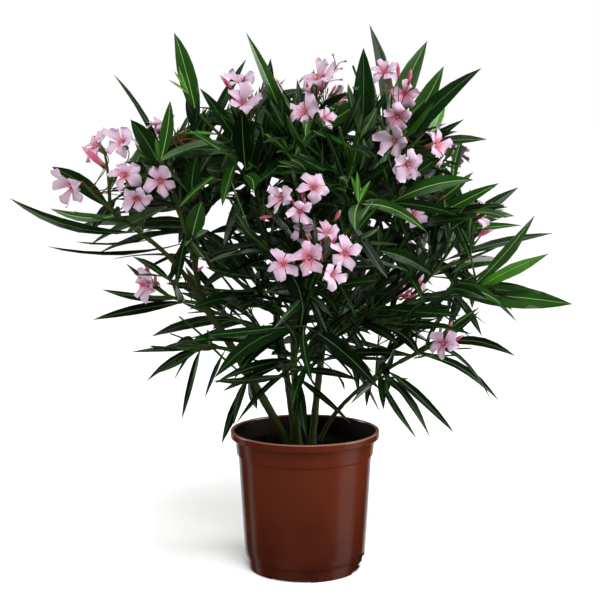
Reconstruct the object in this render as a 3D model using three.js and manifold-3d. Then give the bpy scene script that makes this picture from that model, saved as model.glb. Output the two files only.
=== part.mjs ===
// A flowering oleander in a five litre nursery pot.
// Millimetres, +Z up. The origin is the centre of the pot's flat underside; the open side faces -Y.
// Four stems and a low side branch rise from the root ball and fork into boughs. Each bough ends in
// a mass of foliage: one twig with side twigs, leaves in whorls of three, and its own blossom.
import * as THREE from "three";
import { mergeVertices } from "three/addons/utils/BufferGeometryUtils.js";
import Module from "manifold-3d";

const wasm = await Module();
wasm.setup();

// ---------------------------------------------------------------- driving dimensions
const CLEAR = 0.3; // gap between neighbouring solids
const HAIR = 0.03; // edges shorter than this are closed up after a join

const POT = {
  height: 197,
  wall: 1.8,
  floor: 6,
  sides: 28,
  lip: { radius: 105, drop: 10, corner: 1.5, inset: 6.4 },
  band: { drop: 34, step: 2.6 }, // the deeper collar under the lip
  shoulderRadius: 93.8,
  foot: { radius: 80.6, top: 18, step: 2.8, wallRadius: 85.3, corner: 1.5 },
};
const NOTCH = { count: 4, first: -105, span: 42, height: 3.3, inner: 48 }; // degrees from +X
const SLOT = { bearings: [-8, 172], width: 24, height: 13, inner: 76 };
const SOIL = { top: 175, floorGap: CLEAR };

const LIMB_SIDES = 6;
const LIMB_STEP = 30; // length of limb between two rings
const TWIG = { sides: 3, foot: 3, tip: 2, step: 50 };
const FLARE = { height: 14, gain: 0.35 }; // a stem widens where it enters the soil

const LEAF = {
  perWhorl: 3,
  internode: 43,
  firstWhorl: 16, // clear stem below the lowest whorl
  lowAngle: 80, // degrees between leaf and twig at the foot of a twig
  tipAngle: 26,
  lowSag: 0.36,
  tipSag: -0.02,
  widthFixed: 12,
  widthShare: 0.1,
  fold: 0.16,
  keel: 0.013, // depth of the midrib under the blade, as a share of the length
  shortest: 55,
  apart: 9, // between the middles of two leaves on one mass
  archOfSag: 0.34,
  tries: [[0, 0], [0.08, 0.4], [0.08, -0.4], [0.25, 0], [0.35, 0.5], [0.35, -0.5], [0.5, 0], [0.6, 0.7]],
  sections: [[0.45, 1.12]], // place along the leaf and fullness of each cross section
  longSections: [[0.3, 1.1], [0.66, 1]],
};
const SIDE_TWIG = { from: 0.22, to: 0.72, angle: 44, share: 0.5, attempts: 12, shrink: 0.035 };
const BLOOM = { petals: 5, radius: 23, throat: 7, tube: 15, cup: 5, neck: 2.2, pedicel: 1.2, spread: 0.22 };
const CROWN = {
  middle: [5, 15, 405],
  across: 322,
  deep: 318,
  above: 296,
  below: 225,
  roundAbove: 2.2,
  roundBelow: 1.6,
};
const SPACE = { margin: 1.6, limbMargin: 1.4, bloomMargin: 4 };

// Limbs: foot, bend and tip of one curve, then the radius at foot and tip. A limb with `on` grows from
// that limb, at the share `at` of its length.
const LIMBS = {
  stem_left: { foot: [-22, -6, 175], bend: [-88, -34, 305], tip: [-139, -60, 383], r: [6.2, 4.8] },
  stem_centre: { foot: [-9, -14, 175], bend: [-16, -14, 280], tip: [-18, -10, 384], r: [5.2, 4.2] },
  stem_back: { foot: [-14, 20, 175], bend: [-26, 42, 270], tip: [-40, 100, 345], r: [5, 4] },
  stem_right: { foot: [10, 4, 175], bend: [20, 4, 290], tip: [35, 2, 384], r: [5.2, 4.2] },
  branch_low: { foot: [22, 24, 175], bend: [44, 22, 238], tip: [131, -30, 298], r: [3.4, 2.5] },

  bough_left_up: { on: "stem_left", at: 1, bend: [-146, -54, 410], tip: [-152, -40, 448], r: [4.2, 3.4] },
  bough_left_out: { on: "stem_left", at: 1, bend: [-160, -66, 430], tip: [-206, -58, 466], r: [3.6, 2.9] },
  bough_front: { on: "stem_centre", at: 0.72, bend: [-4, -60, 330], tip: [4, -112, 384], r: [3.4, 2.8] },
  bough_crown_left: { on: "stem_centre", at: 1, bend: [-36, -14, 420], tip: [-50, -28, 458], r: [3.5, 2.9] },
  bough_crown_centre: { on: "stem_centre", at: 1, bend: [-12, -12, 430], tip: [-8, -16, 470], r: [3.4, 2.9] },
  bough_crown_right: { on: "stem_right", at: 1, bend: [62, 0, 440], tip: [84, -12, 486], r: [3.6, 2.9] },
  bough_crown_middle: { on: "stem_right", at: 1, bend: [42, -30, 410], tip: [54, -52, 446], r: [3.3, 2.7] },
  bough_right_up: { on: "stem_right", at: 0.96, bend: [80, -20, 396], tip: [112, -44, 430], r: [3.4, 2.7] },
  bough_right_out: { on: "stem_right", at: 0.84, bend: [90, 6, 360], tip: [160, -28, 384], r: [3.5, 2.8] },
  bough_back_left: { on: "stem_back", at: 1, bend: [-80, 128, 376], tip: [-122, 136, 414], r: [3.4, 2.8] },
  bough_back_up: { on: "stem_back", at: 1, bend: [-32, 116, 390], tip: [-26, 124, 450], r: [3.5, 2.8] },
  bough_back_right: { on: "stem_back", at: 0.9, bend: [20, 126, 360], tip: [84, 136, 404], r: [3.4, 2.8] },
};

// Masses of foliage: the limb and share of its length each grows from, the bend and tip of its main
// twig, how many side twigs, the usual leaf length and a seed. `reach` holds the long leaves of the
// crown's outline, each as the share along the twig where it is rooted, its tip and how far it arches
// up (or hangs, below zero) for its length. `blooms` holds each open flower's centre, the way it faces
// (turn to the right of the front, rise above level) and its size beside the usual one.
const MASSES = {
  left_tip: {
    on: "bough_left_out", at: 1, bend: [-258, -60, 505], tip: [-292, -62, 540], sides: 2, leaf: 110, seed: 3,
    reach: [[0.2, -396, -60, 525, -0.22], [0.05, -300, -112, 470, -0.12], [0.6, -348, -10, 566, 0.02],
      [0.5, -336, -90, 512, -0.06]],
    blooms: [[-312, -70, 541, -70, 15, 1.15], [-282, -40, 596, -60, 45, 1.25], [-236, -104, 556, 0, 15, 1.1],
      [-218, -116, 526, 8, -8, 0.9], [-188, -112, 548, 20, 12, 1.05], [-240, -90, 598, -10, 40, 1.05]],
  },
  left_mid: {
    on: "bough_left_up", at: 1, bend: [-178, -52, 530], tip: [-196, -40, 600], sides: 2, leaf: 125, seed: 5,
    reach: [[0.12, -354, -30, 458, -0.2], [0.2, -300, 60, 440, 0.06], [0.8, -260, -20, 691, 0.12],
      [0.6, -232, -60, 630, 0.02]],
    blooms: [[-199, -34, 624, -40, 45, 0.9]],
  },
  left_crown: {
    on: "bough_left_up", at: 0.7, bend: [-140, 10, 540], tip: [-148, 6, 640], sides: 2, leaf: 125, seed: 8,
    reach: [[0.9, -181, 20, 750, 0.05], [0.75, -82, 40, 716, 0.02]],
    blooms: [],
  },
  left_low: {
    on: "stem_left", at: 1, bend: [-176, -84, 388], tip: [-196, -104, 408], sides: 1, leaf: 115, seed: 4,
    reach: [[0.3, -284, -80, 363, 0.04], [0.5, -270, -90, 405, 0.02], [0.6, -240, -70, 438, 0.02]],
    blooms: [[-205, -116, 414, -35, 0, 1]],
  },
  left_skirt: {
    on: "stem_left", at: 0.66, bend: [-128, -66, 330], tip: [-150, -92, 322], sides: 1, leaf: 115, seed: 14,
    reach: [[0.5, -213, -84, 280, 0.12], [0.8, -164, -110, 232, 0.14], [0.4, -205, -60, 300, 0.1]],
    blooms: [],
  },
  front_low: {
    on: "stem_centre", at: 0.46, bend: [-14, -72, 296], tip: [-12, -104, 330], sides: 2, leaf: 125, seed: 21,
    reach: [[0.8, -147, -190, 350, 0.06], [0.7, -114, -214, 300, 0.1], [0.3, 2, -70, 198, 0.16],
      [0.5, -94, -104, 224, 0.16]],
    blooms: [],
  },
  front_flowers: {
    on: "bough_front", at: 1, bend: [12, -166, 436], tip: [14, -186, 456], sides: 1, leaf: 100, seed: 22,
    reach: [[0.3, 92, -196, 428, 0.06], [0.2, 20, -210, 360, 0.08]],
    blooms: [[25, -190, 486, 5, 50, 0.9], [4, -226, 458, -5, 15, 1.1], [-28, -216, 450, -15, 18, 1],
      [48, -208, 462, 25, 18, 1], [33, -226, 437, 5, -8, 0.9]],
  },
  front_upper: {
    on: "bough_front", at: 0.8, bend: [-6, -120, 440], tip: [-6, -160, 504], sides: 1, leaf: 100, seed: 25,
    reach: [[0.4, -90, -150, 500, 0.06]],
    blooms: [[10, -184, 542, 5, 20, 1], [-31, -180, 528, -20, 15, 0.9], [-7, -200, 513, 0, -8, 0.8]],
  },
  crown_left: {
    on: "bough_crown_left", at: 1, bend: [-76, -46, 580], tip: [-82, -60, 630], sides: 2, leaf: 118, seed: 31,
    reach: [[0.7, -48, 30, 716, 0.02], [0.6, -140, -60, 670, 0.1]],
    blooms: [[-82, -86, 650, 0, 22, 1.15], [-86, -40, 680, -30, 60, 1], [-42, -36, 682, 60, 35, 1]],
  },
  crown_centre: {
    on: "bough_crown_centre", at: 1, bend: [0, -30, 590], tip: [10, -44, 648], sides: 2, leaf: 118, seed: 37,
    reach: [[0.45, -76, -110, 738, -0.03], [0.3, 52, -60, 640, 0.06]],
    blooms: [[18, -46, 684, 5, 35, 1.35], [-2, -112, 637, -5, 15, 1.1], [25, -120, 628, 15, 5, 0.8]],
  },
  crown_middle: {
    on: "bough_crown_middle", at: 1, bend: [70, -84, 550], tip: [74, -92, 606], sides: 2, leaf: 125, seed: 41,
    reach: [[0.85, 75, -94, 720, 0.01], [0.4, 30, -120, 606, 0.04], [0.25, 104, -130, 432, 0.12],
      [0.5, 66, -130, 512, 0.12]],
    blooms: [],
  },
  crown_right: {
    on: "bough_crown_right", at: 1, bend: [116, -34, 610], tip: [128, -40, 650], sides: 2, leaf: 120, seed: 43,
    reach: [[0.6, 91, 64, 766, 0.02], [0.6, 169, 20, 739, 0.03], [0.55, 190, 0, 703, 0.03], [0.4, 239, -20, 699, 0.03],
      [0.2, 214, -40, 630, 0.05]],
    blooms: [[106, -24, 694, -30, 30, 1.05], [134, -30, 664, 15, 10, 1], [122, -60, 632, -10, 0, 1],
      [116, -94, 600, -10, 10, 1.05], [131, -124, 570, 5, -8, 1.05], [170, -104, 594, 20, 20, 1.25]],
  },
  right_up: {
    on: "bough_right_up", at: 1, bend: [150, -74, 500], tip: [166, -90, 524], sides: 2, leaf: 120, seed: 47,
    reach: [[0.8, 219, -100, 560, 0.06], [0.6, 250, -120, 546, 0.04], [0.35, 262, -120, 515, 0.1]],
    blooms: [[141, -112, 506, 20, 25, 0.9]],
  },
  right_mid: {
    on: "bough_right_out", at: 0.8, bend: [186, -40, 430], tip: [212, -58, 484], sides: 1, leaf: 120, seed: 53,
    reach: [[0.6, 345, 0, 474, 0.1], [0.85, 294, -10, 538, 0.0], [0.4, 290, 50, 430, 0.1]],
    blooms: [[232, -52, 502, 60, 30, 0.9]],
  },
  right_far: {
    on: "bough_right_out", at: 1, bend: [222, -42, 396], tip: [246, -52, 402], sides: 1, leaf: 120, seed: 59,
    reach: [[0.7, 302, -90, 503, 0.01], [0.8, 316, -120, 455, -0.03], [0.5, 359, -70, 383, -0.28]],
    blooms: [],
  },
  right_low: {
    on: "branch_low", at: 1, bend: [160, -70, 322], tip: [178, -100, 334], sides: 1, leaf: 110, seed: 61,
    reach: [[0.9, 270, -150, 325, 0.14], [0.8, 247, -120, 257, 0.24], [0.4, 265, -60, 248, 0.12]],
    blooms: [[180, -120, 337, 0, 15, 1]],
  },
  right_skirt: {
    on: "branch_low", at: 0.7, bend: [100, -44, 284], tip: [110, -66, 296], sides: 1, leaf: 115, seed: 67,
    reach: [[0.9, 202, -80, 208, 0.14], [0.7, 168, -100, 204, 0.12], [0.5, 152, -80, 199, 0.1]],
    blooms: [],
  },
  inner_right: {
    on: "stem_right", at: 0.72, bend: [70, -64, 360], tip: [116, -88, 392], sides: 1, leaf: 115, seed: 71,
    reach: [[0.8, 196, -170, 380, 0.1], [0.5, 120, -160, 340, 0.08]],
    blooms: [[152, -66, 414, 30, 10, 0.8]],
  },
  inner_left: {
    on: "stem_centre", at: 0.84, bend: [-54, -60, 392], tip: [-84, -84, 436], sides: 2, leaf: 115, seed: 73,
    reach: [[0.5, -150, -140, 384, 0.06]],
    blooms: [],
  },
  back_left: {
    on: "bough_back_left", at: 1, bend: [-190, 134, 505], tip: [-216, 122, 566], sides: 2, leaf: 125, seed: 79,
    reach: [[0.3, -330, 90, 480, 0.1], [0.5, -262, 224, 556, 0.08]],
    blooms: [[-222, 134, 602, -150, 35, 1], [-246, 104, 586, -100, 25, 0.9], [-200, 164, 584, 160, 15, 1]],
  },
  back_crown: {
    on: "bough_back_up", at: 1, bend: [0, 120, 590], tip: [30, 100, 660], sides: 2, leaf: 125, seed: 85,
    reach: [[0.5, -30, 210, 680, 0.06]],
    blooms: [[22, 128, 690, 180, 40, 1], [52, 130, 664, 160, 15, 0.9], [0, 140, 664, -165, 15, 0.95]],
  },
  back_right: {
    on: "bough_back_right", at: 1, bend: [166, 132, 505], tip: [196, 118, 566], sides: 2, leaf: 125, seed: 89,
    reach: [[0.3, 318, 90, 480, 0.1], [0.5, 244, 226, 556, 0.08]],
    blooms: [[200, 132, 602, 150, 35, 1], [226, 104, 584, 100, 20, 0.95], [178, 160, 582, -170, 15, 0.95]],
  },
  back_middle: {
    on: "bough_back_up", at: 0.5, bend: [-16, 190, 440], tip: [-10, 236, 500], sides: 2, leaf: 125, seed: 97,
    reach: [[0.8, -40, 340, 500, 0.1]],
    blooms: [[-6, 262, 520, 180, 15, 1]],
  },
  back_low_left: {
    on: "stem_back", at: 0.86, bend: [-90, 130, 326], tip: [-130, 170, 346], sides: 2, leaf: 120, seed: 101,
    reach: [[0.7, -240, 200, 300, 0.12], [0.6, -150, 290, 300, 0.12]],
    blooms: [],
  },
  back_low_right: {
    on: "stem_back", at: 0.66, bend: [30, 110, 300], tip: [90, 160, 336], sides: 2, leaf: 120, seed: 103,
    reach: [[0.7, 200, 190, 290, 0.12], [0.6, 110, 280, 290, 0.12]],
    blooms: [],
  },
};

// ---------------------------------------------------------------- small helpers
const vec = (a) => new THREE.Vector3(...a);
const rad = THREE.MathUtils.degToRad;
const UP = new THREE.Vector3(0, 0, 1);

// A number from 0 to 1 that is always the same for a seed and a count.
function chance(seed, count) {
  const wave = Math.sin(seed * 12.9898 + count * 78.233) * 43758.5453;
  return wave - Math.floor(wave);
}

const between = (low, high, share) => low + (high - low) * share;

function solidOf(geometry) {
  const bare = geometry.index ? geometry.toNonIndexed() : geometry.clone();
  const onlyPlaces = new THREE.BufferGeometry().setAttribute("position", bare.getAttribute("position"));
  const merged = mergeVertices(onlyPlaces, 1e-4);
  return new wasm.Manifold(
    new wasm.Mesh({
      numProp: 3,
      vertProperties: new Float32Array(merged.attributes.position.array),
      triVerts: new Uint32Array(merged.index.array),
    }),
  );
}

function geometryOf(solid) {
  const mesh = solid.getMesh();
  const places = new Float32Array(mesh.numVert * 3);
  for (let i = 0; i < mesh.numVert; i++) {
    places.set(mesh.vertProperties.subarray(i * mesh.numProp, i * mesh.numProp + 3), i * 3);
  }
  return new THREE.BufferGeometry()
    .setAttribute("position", new THREE.BufferAttribute(places, 3))
    .setIndex(new THREE.BufferAttribute(new Uint32Array(mesh.triVerts), 1));
}

function fromFaces(points, faces) {
  return new THREE.BufferGeometry().setFromPoints(points).setIndex(faces.flat());
}

// The largest piece, where a cut has left a crumb beside it, without edges shorter than a hair.
function mainPiece(solid) {
  return solid.decompose().reduce((a, b) => (b.volume() > a.volume() ? b : a)).simplify(HAIR);
}

// ---------------------------------------------------------------- pot and root ball
const lipBottom = POT.height - POT.lip.drop;
const bandBottom = POT.height - POT.band.drop;
const lipWall = POT.lip.radius - POT.lip.inset;
const outerWall = [
  [POT.foot.radius - POT.foot.corner, 0],
  [POT.foot.radius, POT.foot.corner],
  [POT.foot.wallRadius - POT.foot.step, POT.foot.top - 1],
  [POT.foot.wallRadius, POT.foot.top + 1],
  [POT.shoulderRadius, bandBottom - 1],
  [POT.shoulderRadius + POT.band.step, bandBottom + 1],
  [lipWall, lipBottom],
];

function innerRadius(height) {
  const above = Math.max(1, outerWall.findIndex(([, z]) => z >= height));
  const [r0, z0] = outerWall[above - 1];
  const [r1, z1] = outerWall[above];
  return between(r0, r1, (height - z0) / (z1 - z0)) - POT.wall;
}

function lathe(profile) {
  const geometry = new THREE.LatheGeometry(
    profile.map(([r, z]) => new THREE.Vector2(r, z)),
    POT.sides,
  );
  return solidOf(geometry.rotateX(Math.PI / 2));
}

function ringSector(inner, outer, from, span, low, high) {
  const shape = new THREE.Shape();
  shape.absarc(0, 0, outer, rad(from), rad(from + span), false);
  shape.absarc(0, 0, inner, rad(from + span), rad(from), true);
  return solidOf(
    new THREE.ExtrudeGeometry(shape, { depth: high - low, bevelEnabled: false, curveSegments: 4 })
      .translate(0, 0, low),
  );
}

function makePot() {
  const { radius, corner } = POT.lip;
  const innerWall = outerWall.slice(2).map(([r, z]) => [r - POT.wall, z]).reverse();
  let pot = lathe([
    [0, 0],
    ...outerWall,
    [radius - corner, lipBottom],
    [radius, lipBottom + corner],
    [radius, POT.height - corner],
    [radius - corner, POT.height],
    [lipWall + POT.wall, POT.height],
    ...innerWall,
    [innerRadius(POT.floor), POT.floor],
    [0, POT.floor],
  ]);
  for (let i = 0; i < NOTCH.count; i++) {
    const from = NOTCH.first - NOTCH.span / 2 + (i * 360) / NOTCH.count;
    pot = pot.subtract(ringSector(NOTCH.inner, radius, from, NOTCH.span, -1, NOTCH.height));
  }
  const slotLength = radius - SLOT.inner;
  for (const bearing of SLOT.bearings) {
    const box = new THREE.BoxGeometry(slotLength, SLOT.width, SLOT.height + 1)
      .translate(SLOT.inner + slotLength / 2, 0, (SLOT.height - 1) / 2)
      .rotateZ(rad(bearing));
    pot = pot.subtract(solidOf(box));
  }
  return pot;
}

function makeSoil() {
  const low = POT.floor + SOIL.floorGap;
  const levels = [low, POT.foot.top - 1, bandBottom - 1, bandBottom + 1, SOIL.top];
  const side = levels.map((z) => [innerRadius(z) - CLEAR * 1.5, z]);
  return lathe([[0, low], ...side, [0, SOIL.top]]);
}

// ---------------------------------------------------------------- limbs
const curveOf = (foot, bend, tip) => new THREE.QuadraticBezierCurve3(vec(foot), vec(bend), vec(tip));

// A closed tapering tube. `radiusAt` gives the radius at each share of the curve, and `longer` is added
// past both ends.
function taperedTube(curve, radiusAt, sides, step, longer = 0) {
  const rings = Math.max(1, Math.round(curve.getLength() / step));
  const frames = curve.computeFrenetFrames(rings);
  const points = [];
  for (let i = 0; i <= rings; i++) {
    const past = i === 0 ? -longer : (i === rings) * longer;
    const centre = curve.getPointAt(i / rings).addScaledVector(frames.tangents[i], past);
    for (let j = 0; j < sides; j++) {
      const turn = (j / sides) * 2 * Math.PI;
      const out = frames.normals[i].clone().multiplyScalar(Math.cos(turn))
        .addScaledVector(frames.binormals[i], Math.sin(turn));
      points.push(centre.clone().addScaledVector(out, radiusAt(i / rings)));
    }
  }
  const faces = [];
  for (let i = 0; i < rings; i++) {
    for (let j = 0; j < sides; j++) {
      const next = (j + 1) % sides;
      const [a, b] = [i * sides + j, i * sides + next];
      faces.push([a, b, b + sides], [a, b + sides, a + sides]);
    }
  }
  for (let j = 1; j < sides - 1; j++) {
    faces.push([0, j + 1, j], [rings * sides, rings * sides + j, rings * sides + j + 1]);
  }
  return solidOf(fromFaces(points, faces));
}

const groundCut = solidOf(
  new THREE.BoxGeometry(400, 400, 100).translate(0, 0, SOIL.top + CLEAR - 50),
);

// The curves come first, so that every mass knows where all limbs are.
const limbs = {};
for (const [name, size] of Object.entries(LIMBS)) {
  const foot = size.on ? limbs[size.on].curve.getPointAt(size.at).toArray() : size.foot;
  limbs[name] = { name, ...size, curve: curveOf(foot, size.bend, size.tip) };
}

function makeLimb(limb) {
  const [thick, thin] = limb.r;
  const length = limb.curve.getLength();
  const flare = (share) =>
    limb.on ? 1 : 1 + FLARE.gain * Math.max(0, 1 - (share * length) / FLARE.height) ** 2;
  const grown = (extra) =>
    taperedTube(limb.curve, (t) => between(thick, thin, t) * flare(t) + extra, LIMB_SIDES, LIMB_STEP, extra);
  limb.shell = grown(CLEAR);
  limb.solid = grown(0);
  if (!limb.on) limb.solid = limb.solid.subtract(groundCut);
  for (const other of Object.values(limbs)) {
    if (other === limb) break;
    limb.solid = limb.solid.subtract(other.shell);
  }
  limb.solid = mainPiece(limb.solid);
}

// ---------------------------------------------------------------- leaves and blossom
// A leaf blade from root to tip, folded along its keel. `arch` lifts its middle, as a share of its length.
function leafPlan(root, tip, arch, face, sections = LEAF.sections) {
  const length = root.distanceTo(tip);
  const bend = root.clone().lerp(tip, 0.5).addScaledVector(UP, arch * length);
  const curve = new THREE.QuadraticBezierCurve3(root, bend, tip);
  const width = LEAF.widthFixed + LEAF.widthShare * length;
  const section = ([share, fullness]) => {
    const along = curve.getTangent(share);
    const across = new THREE.Vector3().crossVectors(along, face).normalize();
    const top = new THREE.Vector3().crossVectors(across, along).normalize();
    const middle = curve.getPoint(share);
    const half = (width / 2) * fullness;
    const edge = (side) =>
      middle.clone().addScaledVector(across, side * half).addScaledVector(top, half * LEAF.fold);
    const keel = middle.clone().addScaledVector(top, -Math.max(1.2, LEAF.keel * length));
    return [edge(-1), edge(1), keel];
  };
  return { curve, sections: sections.map(section) };
}

// Side faces between two rings of three points each.
function bridge(low, high) {
  return [0, 1, 2].flatMap((i) => {
    const [a, b] = [i, (i + 1) % 3];
    return [[low + a, low + b, high + b], [low + a, high + b, high + a]];
  });
}

function makeLeaf({ curve, sections }) {
  const points = [...sections.flat(), curve.v0, curve.v2];
  const [root, tip] = [points.length - 2, points.length - 1];
  const last = root - 3;
  const faces = [];
  for (const [a, b] of [[0, 1], [1, 2], [2, 0]]) {
    faces.push([root, b, a], [last + a, last + b, tip]);
  }
  for (let low = 0; low < last; low += 3) faces.push(...bridge(low, low + 3));
  return solidOf(fromFaces(points, faces));
}

function facing(turn, rise) {
  const level = Math.cos(rad(rise));
  return new THREE.Vector3(Math.sin(rad(turn)) * level, -Math.cos(rad(turn)) * level, Math.sin(rad(rise)));
}

// An open flower on its stalk: five blunt petals round a throat, behind it a tube that bends down
// to the twig.
function makeBloom({ foot, base, centre, axis, size }) {
  const side = new THREE.Vector3().crossVectors(UP, axis).normalize();
  const above = new THREE.Vector3().crossVectors(axis, side);
  const outward = (turn) => side.clone().multiplyScalar(Math.cos(turn)).addScaledVector(above, Math.sin(turn));
  const place = (radius, turn, height) =>
    centre.clone().addScaledVector(outward(turn), radius * size).addScaledVector(axis, height * size);
  const petal = (2 * Math.PI) / BLOOM.petals;
  const points = [centre];
  for (let middle = Math.PI / 2; points.length < BLOOM.petals * 3; middle += petal) {
    points.push(place(BLOOM.throat, middle - petal * 0.5, -1));
    points.push(place(BLOOM.radius, middle - petal * 0.22, BLOOM.cup));
    points.push(place(BLOOM.radius, middle + petal * 0.3, BLOOM.cup));
  }
  const rim = points.length - 1;
  const stalk = base.clone().sub(foot).normalize();
  const bend = new THREE.Quaternion().setFromUnitVectors(axis, stalk);
  const half = new THREE.Quaternion().slerp(bend, 0.5);
  const ring = (middle, radius, turned) => {
    for (let k = 0; k < 3; k++) {
      const way = outward(Math.PI / 2 + (k * 2 * Math.PI) / 3).applyQuaternion(turned);
      points.push(middle.clone().addScaledVector(way, radius));
    }
  };
  ring(base, BLOOM.neck, half);
  ring(foot, BLOOM.pedicel, bend);
  const faces = [];
  for (let i = 0; i < rim; i++) {
    const [a, b] = [1 + i, 1 + ((i + 1) % rim)];
    const [k, next] = [Math.floor(i / 5), Math.floor(((i + 1) % rim) / 5)];
    faces.push([0, a, b], [b, a, rim + 1 + k]);
    if (next !== k) faces.push([b, rim + 1 + k, rim + 1 + next]);
  }
  faces.push(...bridge(rim + 4, rim + 1), [rim + 4, rim + 6, rim + 5]);
  return solidOf(fromFaces(points, faces));
}

// ---------------------------------------------------------------- spaces of the masses
// Straight pieces of a curve, to measure distances to it.
function piecesOf(curve, count) {
  const points = curve.getSpacedPoints(count);
  return points.slice(1).map((end, i) => new THREE.Line3(points[i], end));
}

const spot = new THREE.Vector3();
function distanceTo(pieces, point) {
  let nearest = Infinity;
  for (const piece of pieces) {
    piece.closestPointToPoint(point, true, spot);
    nearest = Math.min(nearest, spot.distanceTo(point));
  }
  return nearest;
}

const masses = {};
for (const [name, size] of Object.entries(MASSES)) {
  const foot = limbs[size.on].curve.getPointAt(size.at).toArray();
  const twig = curveOf(foot, size.bend, size.tip);
  const blooms = size.blooms.map(([x, y, z, turn, rise, grown], i) => {
    const centre = vec([x, y, z]);
    const axis = facing(turn, rise);
    const base = centre.clone().addScaledVector(axis, -BLOOM.tube * grown);
    const foot = twig.getPoint(1 - (BLOOM.spread * (i + 0.5)) / size.blooms.length);
    return { centre, axis, base, foot, size: grown };
  });
  const long = size.reach.map(([at, x, y, z, arch]) => {
    return leafPlan(twig.getPointAt(at), vec([x, y, z]), arch, twig.getTangentAt(at), LEAF.longSections);
  });
  const axes = [twig, ...long.map((leaf) => leaf.curve)].flatMap((curve) => piecesOf(curve, 3));
  for (const { foot, base, centre } of blooms) {
    axes.push(new THREE.Line3(foot, base), new THREE.Line3(base, centre));
  }
  const taken = blooms.map(({ foot, base }) => new THREE.Line3(foot.clone().lerp(base, 0.3), base));
  masses[name] = { name, ...size, twigs: [twig], blooms, long, axes, taken, bars: piecesOf(twig, 3), leaves: [] };
}

// A mass's own space is all that lies nearer to its own twigs and long leaves than to another mass's,
// clear of limbs.
function inOwnSpace(mass, point) {
  const own = distanceTo(mass.axes, point);
  for (const other of Object.values(masses)) {
    if (other === mass) continue;
    if (distanceTo(other.axes, point) < own + SPACE.margin) return false;
    for (const bloom of other.blooms) {
      if (bloom.centre.distanceTo(point) < BLOOM.radius * bloom.size + SPACE.bloomMargin) return false;
    }
  }
  for (const limb of Object.values(limbs)) {
    limb.axes ??= piecesOf(limb.curve, 6);
    if (distanceTo(limb.axes, point) < limb.r[0] + SPACE.limbMargin) return false;
  }
  const radius = Math.hypot(point.x, point.y);
  return point.z > POT.height + 4 || radius > POT.lip.radius + 8 || (radius < 84 && point.z > SOIL.top + 6);
}

// A leaf also keeps off the other leaves and open flowers of its own mass.
function leafFits(mass, plan) {
  const middle = [0.2, 0.35, 0.5, 0.65, 0.8, 0.9, 1].map((share) => plan.curve.getPoint(share));
  const outer = middle.slice(2);
  const spread = [...outer, ...plan.sections.at(-1)];
  const crowded = spread.some((point) => distanceTo(mass.taken, point) < LEAF.apart) ||
    outer.some((point) => distanceTo(mass.bars, point) < LEAF.apart);
  const inFlower = mass.blooms.some((bloom) =>
    spread.some((point) => bloom.centre.distanceTo(point) < BLOOM.radius * bloom.size));
  if (crowded || inFlower) return false;
  return [...middle, ...plan.sections.flat()].every((point) => inOwnSpace(mass, point));
}

function inCrown(point) {
  const high = point.z - CROWN.middle[2];
  const level = Math.hypot((point.x - CROWN.middle[0]) / CROWN.across, (point.y - CROWN.middle[1]) / CROWN.deep);
  const power = high > 0 ? CROWN.roundAbove : CROWN.roundBelow;
  return level ** power + Math.abs(high / (high > 0 ? CROWN.above : CROWN.below)) ** power < 1;
}

// ---------------------------------------------------------------- the rule of growth
function growSideTwigs(mass) {
  const main = mass.twigs[0];
  for (let i = 0; i < mass.sides; i++) {
    const at = between(SIDE_TWIG.from, SIDE_TWIG.to, (i + 0.5) / mass.sides);
    const root = main.getPoint(at);
    const along = main.getTangent(at);
    const out = new THREE.Vector3().crossVectors(along, UP).normalize();
    for (let attempt = 0; attempt < SIDE_TWIG.attempts; attempt++) {
      const turn = 2 * Math.PI * (chance(mass.seed, 500 + i) + 0.38 * i + attempt * 0.381966);
      const way = out.clone().applyAxisAngle(along, turn);
      const lean = rad(SIDE_TWIG.angle);
      const heading = along.clone().multiplyScalar(Math.cos(lean)).addScaledVector(way, Math.sin(lean));
      heading.z = Math.max(heading.z, 0.1);
      const length = (main.getLength() * SIDE_TWIG.share + 24) * (1 - attempt * SIDE_TWIG.shrink);
      const tip = root.clone().addScaledVector(heading.normalize(), length);
      const bend = root.clone().lerp(tip, 0.55).addScaledVector(way, length * 0.08);
      const twig = new THREE.QuadraticBezierCurve3(root, bend, tip);
      if (![0.5, 0.75, 1].every((share) => inOwnSpace(mass, twig.getPoint(share)))) continue;
      mass.twigs.push(twig);
      break;
    }
  }
  for (const twig of mass.twigs.slice(1)) {
    mass.axes.push(...piecesOf(twig, 2));
    mass.bars.push(...piecesOf(twig, 2));
  }
}

// Tries a leaf at its full length, then swung aside, shorter and closer to its twig, and skips it if
// none fits.
function addLeaf(mass, root, heading, along, length, sag, arch) {
  for (const [effort, swing] of LEAF.tries) {
    const way = heading.clone().applyAxisAngle(along, swing).lerp(along, effort * 0.6)
      .addScaledVector(UP, -sag).normalize();
    const grown = length * (1 - effort * 0.8);
    if (grown < LEAF.shortest) return;
    const plan = leafPlan(root, root.clone().addScaledVector(way, grown), arch, along);
    if (inCrown(plan.curve.v2) && leafFits(mass, plan)) {
      keepLeaf(mass, plan);
      return;
    }
  }
}

function keepLeaf(mass, plan) {
  mass.taken.push(...piecesOf(plan.curve, 3).slice(1));
  mass.leaves.push(plan);
}

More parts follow.
